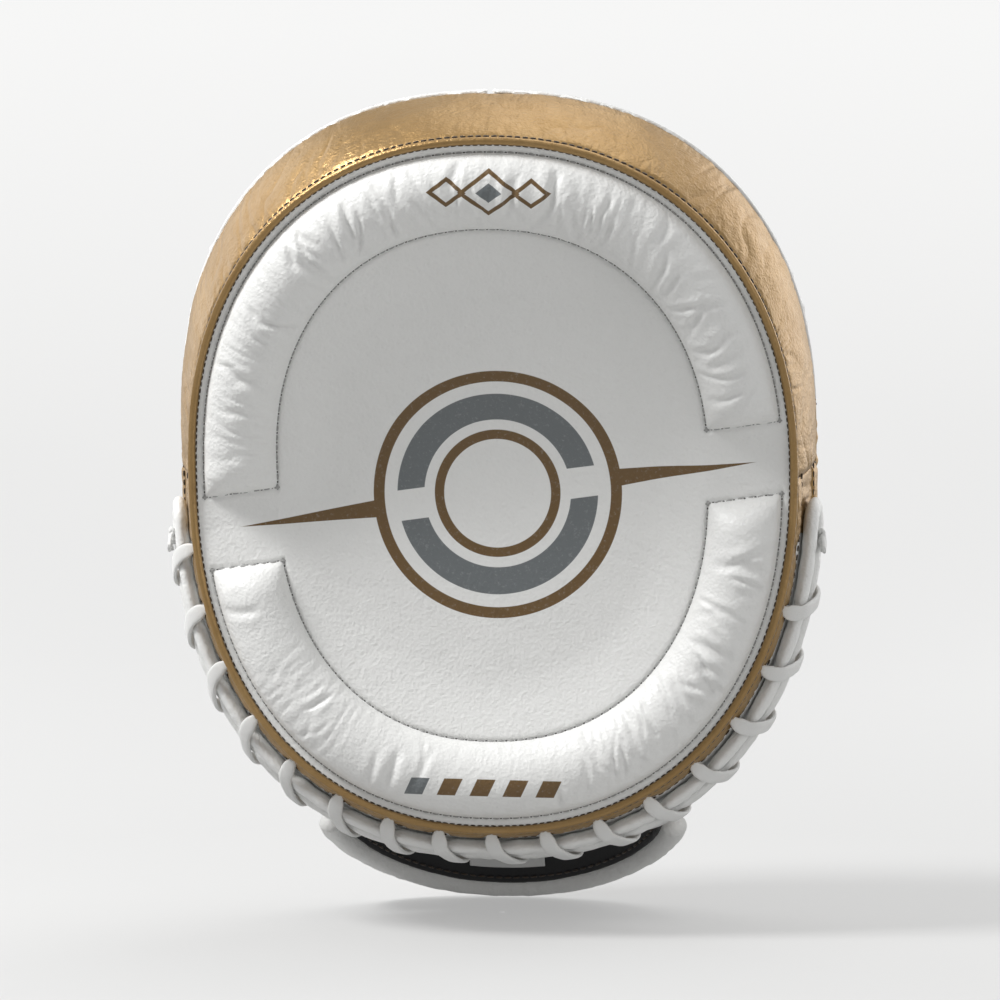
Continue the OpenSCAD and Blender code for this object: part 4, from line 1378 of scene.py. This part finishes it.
def wrist_strap():
    """The ply that crosses the hand, from the far wall to the ring."""
    start = [[-TUNNEL_HALF, BACK_Y + 0.4], [-TUNNEL_HALF, INNER_BACK - FAR_R + STRAP_T]]
    far = arc_pts(-TUNNEL_HALF + FAR_R + STRAP_T, INNER_BACK - FAR_R, FAR_R + STRAP_T, 180, 90)
    near = arc_pts(INNER_X - NEAR_R, INNER_BACK - NEAR_R, NEAR_R + STRAP_T, 90, 0)
    path = plan(np.vstack([start, far, near, [[INNER_X + STRAP_T, TURN_Y + 0.3]]]))
    strap_part("wrist_strap", path, -1, 1.9, "wrist_strap", "pad", "pad", 201, 60)


def strap_turn():
    """The strap's turn round the ring, as far as the near corner."""
    turn = arc_pts(RING_X, TURN_Y, 4.25, 180, 360, 24)
    path = plan(np.vstack([turn, [[OUTER_X + STRAP_T, OUTER_BACK - NEAR_R]]]), 0.5)
    strap_part("strap_turn", path, 1, 1.9, "strap_return", "pad", "pad", 211, 64)


def strap_free():
    """The free end that closes over the first ply; its long pieces bend at the near corner."""
    path = plan(np.vstack([arc_pts(FLAP_X, OUTER_BACK - NEAR_R, NEAR_R + STRAP_T, 0, 90),
                           [[FLAP_END, OUTER_BACK + STRAP_T]]]), 0.6)
    pieces = strap_part("strap_free", path, 1, 2.0, "strap_end", None, "blend", 221, 66)
    end = np.stack([np.full(60, FLAP_END + 3.0), np.full(60, OUTER_BACK + STRAP_T - 0.85),
                    np.linspace(-HALF_STRAP + 0.6, HALF_STRAP - 0.6, 60)], -1)
    v, f = sweep(end, np.array([0, 1.0, 0]), oval(3.4, 1.25, 18, 3.0))
    make("strap_tip_binding", v, f, GOLD, "strap_flap")
    stitch("dark", end + np.array([2.0, 1.15, 0]), np.array([0, 1.0, 0]), 2.9, body="strap_flap", seed=70)
    return pieces


wrist_strap()
strap_turn()
FREE = strap_free()


def pad_tape(name, node, x0, x1, y0, y1, body, seed):
    """Hook or loop tape: a block with a slightly rough surface on its working side."""
    z = HALF_STRAP - 10
    xs, zs = np.meshgrid(np.linspace(x0, x1, 70), np.linspace(-z, z, 46))
    h = 0.12 * noise(xs / 0.9, zs / 0.9, seed)
    p = np.stack([xs, np.full_like(xs, y1) + (h if y1 > y0 else -h), zs], -1)
    v, f = shell(p, abs(y1 - y0), np.array([0, y1 - y0, 0]))
    make(name, v, f, TAPE, body, [node])


pad_tape("loop_tape_pile", "loop_tape", -34, 32, INNER_BACK + 1.9, INNER_BACK + 2.9, "pad", 231)
pad_tape("hook_tape_pile", "hook_tape", FLAP_END + 2, 30, OUTER_BACK - 0.1, OUTER_BACK - 1.1, "strap_flap",
         235)


def rounded_plate(cx, cz, w, h, y0, y1, power=5.0):
    """A soft-edged plate lying against the strap, with a raised rim; its outline is a rounded rectangle."""
    t = np.radians(np.arange(120) * 3.0)
    ex = 2 / power
    ox = np.sign(np.cos(t)) * np.abs(np.cos(t)) ** ex
    oz = np.sign(np.sin(t)) * np.abs(np.sin(t)) ** ex
    # share of the outline, share of the height
    rows = [(1, 0.0), (1, 0.55), (0.985, 0.85), (0.95, 1.0), (0.90, 1.02), (0.87, 0.9), (0.84, 0.88),
            (0.5, 0.93), (0.02, 0.95)]
    p = []
    for k, y in rows:
        sx = (w / 2 - (1 - k) * 12) if k > 0.8 else w / 2 * k
        sz = (h / 2 - (1 - k) * 12) if k > 0.8 else h / 2 * k
        p.append(np.stack([cx + sx * ox, np.full_like(ox, lerp(y0, y1, y)), cz + sz * oz], -1))
    p = np.array(p)
    f = grid_faces(len(rows), 120, True).tolist()
    n = len(rows) * 120
    f += [list(range(120))[::-1], [n - 120 + k for k in range(120)]]
    return p.reshape(-1, 3), f


v, f = rounded_plate(2, 0, 48, 26, OUTER_BACK + 1.7, OUTER_BACK + 3.6)
make("blank_badge", v, f, BADGE, "strap_flap", ["badge"])


def ring_bar():
    """The glossy ring: a rounded rectangle of bar."""
    cr = 4.5
    half = HALF_STRAP + 3.4 - cr
    ring_path = []
    for cy, cz, a0 in ((TURN_Y - cr, half, 0), (RING_Y + cr, half, 90), (RING_Y + cr, -half, 180),
                       (TURN_Y - cr, -half, 270)):
        a = np.radians(np.linspace(a0, a0 + 90, 16))
        ring_path.append(np.stack([np.full(16, RING_X), cy + cr * np.cos(a), cz + cr * np.sin(a)], -1))
    ring_path, _ = resample(np.vstack(ring_path), 0.8, True)
    v, f = sweep(ring_path, np.array([1.0, 0, 0]), oval(RING_R, RING_R, 24, 2.2), True)
    make("ring_bar", v, f, RING, "pad", ["strap_ring"])


ring_bar()


def ring_anchor():
    """Gold leather folded round the ring and box-stitched, and the flanges sewn to the pad."""
    fold = [arc_pts(RING_X, RING_Y, 4.2, a, a + 152, 26)[1:] for a in (-62, 90)]
    anchor = plan(np.vstack([[[RING_X + 1.7, BACK_Y + 0.3], [RING_X + 1.7, RING_Y - 4.6]], *fold,
                             [[RING_X - 1.7, RING_Y - 4.8], [RING_X - 1.7, BACK_Y + 0.3]]]), 0.5)
    ribbon("ring_anchor_leather", anchor, 1, 1.6, GOLD, ["strap_anchor"], "pad", 241,
           -HALF_STRAP, HALF_STRAP, 0.1, 1.0, 70)
    ax = RING_X + 1.75
    y0, y1, z0, z1 = BACK_Y + 2.2, BACK_Y + 17.5, -HALF_STRAP + 3, HALF_STRAP - 3
    box = [(y0, z0), (y1, z0), (y1, z1), (y0, z1), (y0, z0)]
    lines = list(zip(box[:-1], box[1:])) + [((y0, z0), (y1, z1)), ((y0, z1), (y1, z0)),
                                            ((y1 + 1.6, z0), (y1 + 1.6, z1))]
    for k, (a, b) in enumerate(lines):
        s = np.linspace(0, 1, 40)
        line = np.stack([np.full(40, ax), lerp(a[0], b[0], s), lerp(a[1], b[1], s)], -1)
        stitch("dark", line, np.array([1.0, 0, 0]), 2.7, 2.1, 0.75, 0.4, 0.05, seed=80 + k)
    flange = np.array([[RING_X - 16, BACK_Y + 1.9], [RING_X + 1.2, BACK_Y + 1.9]])
    ribbon("anchor_flange", plan(flange), -1, 1.5, GOLD, (), "pad", 245, -HALF_STRAP,
           HALF_STRAP, 0.1, 0.6, 30)
    flange = np.array([[-TUNNEL_HALF + 1, BACK_Y + 1.9], [-TUNNEL_HALF + 16, BACK_Y + 1.9]])
    ribbon("far_flange", plan(flange), -1, 1.5, WHITE, (), "pad", 246, -HALF_STRAP,
           HALF_STRAP, 0.1, 0.6, 30)


ring_anchor()


# ---------- cuff ----------
CUFF_Z = -HALF_STRAP - 1.6
ROOT_Y, ROOT_DEPTH, CUFF_OUT, CUFF_DROP = BACK_Y + 15, 22.0, 22.0, 41.0


def cuff_out(a):
    """Outward direction of the cuff at an angle round the wrist."""
    r = np.radians(a)
    return np.stack([np.sin(r), np.cos(r), 0.35 + 0 * r], -1)


def cuff(a, t, inset, end=0.0, rise=0.0):
    """A point on the cuff: a is the angle round the wrist, t runs from root to mouth."""
    a, t = np.broadcast_arrays(np.asarray(a, float), np.asarray(t, float))
    r = np.radians(a)
    s, c = np.sin(r), np.maximum(np.cos(r), 0)
    root = np.stack([46 * s, ROOT_Y + ROOT_DEPTH * c, CUFF_Z + rise + 0 * s], -1)
    mouth = np.stack([60 * s, ROOT_Y + (ROOT_DEPTH + CUFF_OUT) * c,
                      CUFF_Z - 14 - (CUFF_DROP - 14) * c**1.2], -1)
    span = mouth - root
    reach = t * (1 - end / np.linalg.norm(span, axis=-1))
    out = unit(np.stack([s, c, 0.35 + 0 * s], -1))
    return root + reach[..., None] * span + (2.5 * np.sin(np.pi * t) - inset)[..., None] * out


CUFF = []


def cuff_piece(name, a0, a1, inset, thick, mat, nodes, seed, cols, t0=0.0, t1=1.0, end=3.2,
               wrinkle=1.0):
    """A wrinkled sheet of the cuff between two angles."""
    S, T = np.meshgrid(np.linspace(a0, a1, cols), np.linspace(t0, t1, 44))
    p = cuff(S, T, inset, end, 0.8)
    arc = np.radians(S) * 48
    h = wrinkle * (0.6 * fbm(arc / 14, T * 3, seed) - 0.5 * (1 - ridged(arc / 7 + T, T * 2.4, seed + 1))
                   - 0.3 * (1 - ridged(arc / 3.2, T * 2, seed + 2)) * np.exp(-(1 - T) * 5))
    side = np.minimum(np.abs(S - a0), np.abs(S - a1)) / 1.6
    h -= 0.6 * (1 - smooth(side)) * wrinkle
    n, _ = outward(p, cuff_out(S))
    v, f = shell(p + n * h[..., None], thick, n)
    CUFF.append(make(name, v, f, mat, None, nodes))


cuff_piece("cuff_middle_panel", -48.4, 48.4, 0, 1.3, GOLD, ["cuff_panel"], 251, 150)
cuff_piece("cuff_gore_near", 48.2, 86, 0.1, 1.3, WHITE, ["cuff_gores"], 255, 70)
cuff_piece("cuff_gore_far", -86, -48.2, 0.1, 1.3, WHITE, (), 258, 70)
cuff_piece("cuff_padding", -84, 84, 1.7, 2.1, FOAM, ["cuff_foam"], 261, 160, 0.03, 0.97, 3.6, 0.15)
cuff_piece("cuff_black_lining", -85, 85, 4.1, 1.0, BLACK, ["cuff_lining"], 264, 170, 0, 1,
           3.0, 0.5)
cuff_piece("cuff_blank_label", -14, 14, 5.7, 0.5, LABEL, ["cuff_label"], 267, 40, 0.3, 0.86, 3.0,
           0.2)


def cuff_edge():
    """The cuff's rolled binding and all its rows of thread."""
    a = np.linspace(-87, 87, 320)
    out = unit(cuff_out(a))
    p = cuff(a, 1 + 0 * a, 2.5)
    s = along(p)
    v, f = sweep(p, out, oval(3.6, 3.9, 20, 2.2), False,
                 1 + 0.05 * noise(s / 7, 0 * s, 271) + 0.035 * noise(s / 2.4, 0 * s, 272))
    CUFF.append(make("cuff_rolled_binding", v, f, WHITE, None, ["cuff_binding"]))
    aa = np.linspace(-84, 84, 300)
    oo = unit(cuff_out(aa))
    stitch("white", cuff(aa, 1 + 0 * aa, -0.2, 5.2, 0.8), oo, 3.0, body="cuff_blend", seed=90)
    stitch("dark", cuff(aa, 1 + 0 * aa, 5.3, 5.0, 0.8), -oo, 3.0, body="cuff_blend", seed=91)
    for side in (-1, 1):
        for off, kind in ((-1.6, "dark"), (1.8, "white")):
            tt = np.linspace(0.02, 0.93, 80)
            edge = np.full(80, side * (48.3 + off))
            stitch(kind, cuff(edge, tt, -0.25, 3.2, 0.8), unit(cuff(edge, tt, -2) - cuff(edge, tt, 0)),
                   2.9, body="cuff_blend", seed=int(92 + off))
    tt = np.linspace(-46, 46, 120)
    stitch("dark", cuff(tt, 0.07 + 0 * tt, -0.3, 3.2, 0.8), unit(cuff(tt, 0.07, -2) - cuff(tt, 0.07, 0)),
           2.9, body="cuff_blend", seed=95)


cuff_edge()


# ---------- thread meshes, and the pieces that cross a joint ---
def finish_threads():
    """Turn the collected stitches into meshes, and bake the placement of the pieces that cross a joint, which
    ride on no body, into their meshes.
    """
    # hole beads are painted shade at the needle holes
    kinds = {"white": (THREAD, "white_leather"), "dark": (DARK_THREAD, "gold_leather"),
             "hole": (HOLE_SHADE, "white_leather")}
    bending = {"blend": FREE, "cuff_blend": CUFF}
    for (kind, body), parts in sorted(STITCH.items()):
        v, f = merge(parts)
        mat, slot_name = kinds[kind]
        ob = make("stitches_%s_%s" % (kind, body), v, f, mat, None if body in bending else body)
        if body in bending:
            bending[body].append(ob)
    for ob in FREE:
        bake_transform(ob)
    for ob in CUFF:
        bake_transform(ob)


finish_threads()


def dress_inside():
    """Materials on the hidden CAD solids."""
    foams = ("upper_roll_foam", "lower_roll_foam", "impact_foam", "shock_foam", "palm_foam")
    for node, mat in [(name, FOAM) for name in foams] + [("backing_board", BOARD)]:
        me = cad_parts[node].data
        me.materials.clear()
        me.materials.append(mat.mat)


dress_inside()


# ---------- stage ----------
def stage():
    """A pale floor that curves up all round."""
    lo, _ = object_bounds()
    floor_z = (lo.z - 0.0006) * 1000
    flat, sweep_r = 1100, 2300
    bend = np.radians(np.linspace(0, 78, 30))
    prof = np.vstack([[[1, 0], [300, 0], [700, 0]],
                      np.stack([flat + sweep_r * np.sin(bend), sweep_r * (1 - np.cos(bend))], -1)])
    around = np.radians(np.arange(0, 360, 5))
    v = np.array([[r * math.cos(t), r * math.sin(t), floor_z + z] for r, z in prof for t in around])
    f = grid_faces(len(prof), len(around), True)
    # The floor glows a little for the camera, so that it stays pale without lighting the mitt flat.
    paper = Mat("paper", (0.30, 0.30, 0.298), 0.9)
    paper.mix(paper.noise(60, 2) * 0.1, (0.29, 0.29, 0.29))
    split = paper.tree.nodes.new("ShaderNodeSeparateXYZ")
    paper.tree.links.new(paper.mm, split.inputs[0])
    px, py = (Ex(paper.tree, split.outputs[k]) for k in range(2))
    far = (((px * px + py * py).op("SQRT") - 250) * (1 / 2400)).op("ADD", 0, clamp=True)
    seen = Ex(paper.tree, paper.tree.nodes.new("ShaderNodeLightPath").outputs["Is Camera Ray"])
    glow = (far * 0.40 + 0.36) * seen + (-seen + 1) * 0.13
    paper.p.inputs["Emission Color"].default_value = (1, 1, 0.995, 1)
    paper.tree.links.new(glow.socket, paper.p.inputs["Emission Strength"])
    me = bpy.data.meshes.new("backdrop")
    me.from_pydata((v / 1000).tolist(), [], f.tolist())
    me.polygons.foreach_set("use_smooth", [True] * len(me.polygons))
    me.materials.append(paper.mat)
    floor = bpy.data.objects.new("backdrop", me)
    bpy.context.scene.collection.objects.link(floor)
    floor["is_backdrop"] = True


stage()


# ---------- lights and camera; metres and watts ----------
CENTRE = np.array([0.0, -0.015, 0.0605])
CAMERA_TURN, CAMERA_LIFT, CAMERA_DISTANCE, LENS = 3.6, 1.5, 1.08, 118


def area(name, direction, distance, size, power):
    """A soft light in a direction from the mitt's middle, facing it."""
    data = bpy.data.lights.new(name, "AREA")
    data.shape = "RECTANGLE"
    data.size, data.size_y = size
    data.energy = power
    ob = bpy.data.objects.new(name, data)
    d = Vector(direction).normalized()
    ob.location = Vector(CENTRE) + d * distance
    ob.rotation_mode = "QUATERNION"
    ob.rotation_quaternion = d.to_track_quat("Z", "Y")
    bpy.context.scene.collection.objects.link(ob)


area("key", (-1.0, -0.5, 1.15), 1.25, (0.36, 0.36), 16)
area("fill", (1.3, -0.9, 0.1), 1.5, (1.0, 1.2), 5.0)
area("top", (0.3, 0.35, 1.3), 1.3, (1.1, 0.8), 5.0)
area("back_left", (-1.2, 1.0, 0.5), 1.5, (0.8, 1.2), 5.0)
area("back_right", (1.1, 1.1, 0.5), 1.5, (0.8, 1.2), 7.5)


def sky():
    """A plain white world."""
    world = bpy.data.worlds.new("studio")
    world.use_nodes = True
    world.node_tree.nodes["Background"].inputs[0].default_value = (1, 1, 1, 1)
    world.node_tree.nodes["Background"].inputs[1].default_value = 0.5
    bpy.context.scene.world = world
    bpy.context.scene.view_settings.view_transform = "Standard"


sky()


def camera():
    """The photographer's place, in front of the striking face."""
    cam_data = bpy.data.cameras.new("camera")
    cam_data.lens = LENS
    cam_data.clip_start = 0.05
    cam = bpy.data.objects.new("camera", cam_data)
    bpy.context.scene.collection.objects.link(cam)
    az, el = math.radians(CAMERA_TURN), math.radians(CAMERA_LIFT)
    back = np.array([math.sin(az) * math.cos(el), -math.cos(az) * math.cos(el), math.sin(el)])
    cam.location = Vector(CENTRE + back * CAMERA_DISTANCE)
    cam.rotation_mode = "QUATERNION"
    cam.rotation_quaternion = Vector(back).to_track_quat("Z", "Y")
    bpy.context.scene.camera = cam


camera()
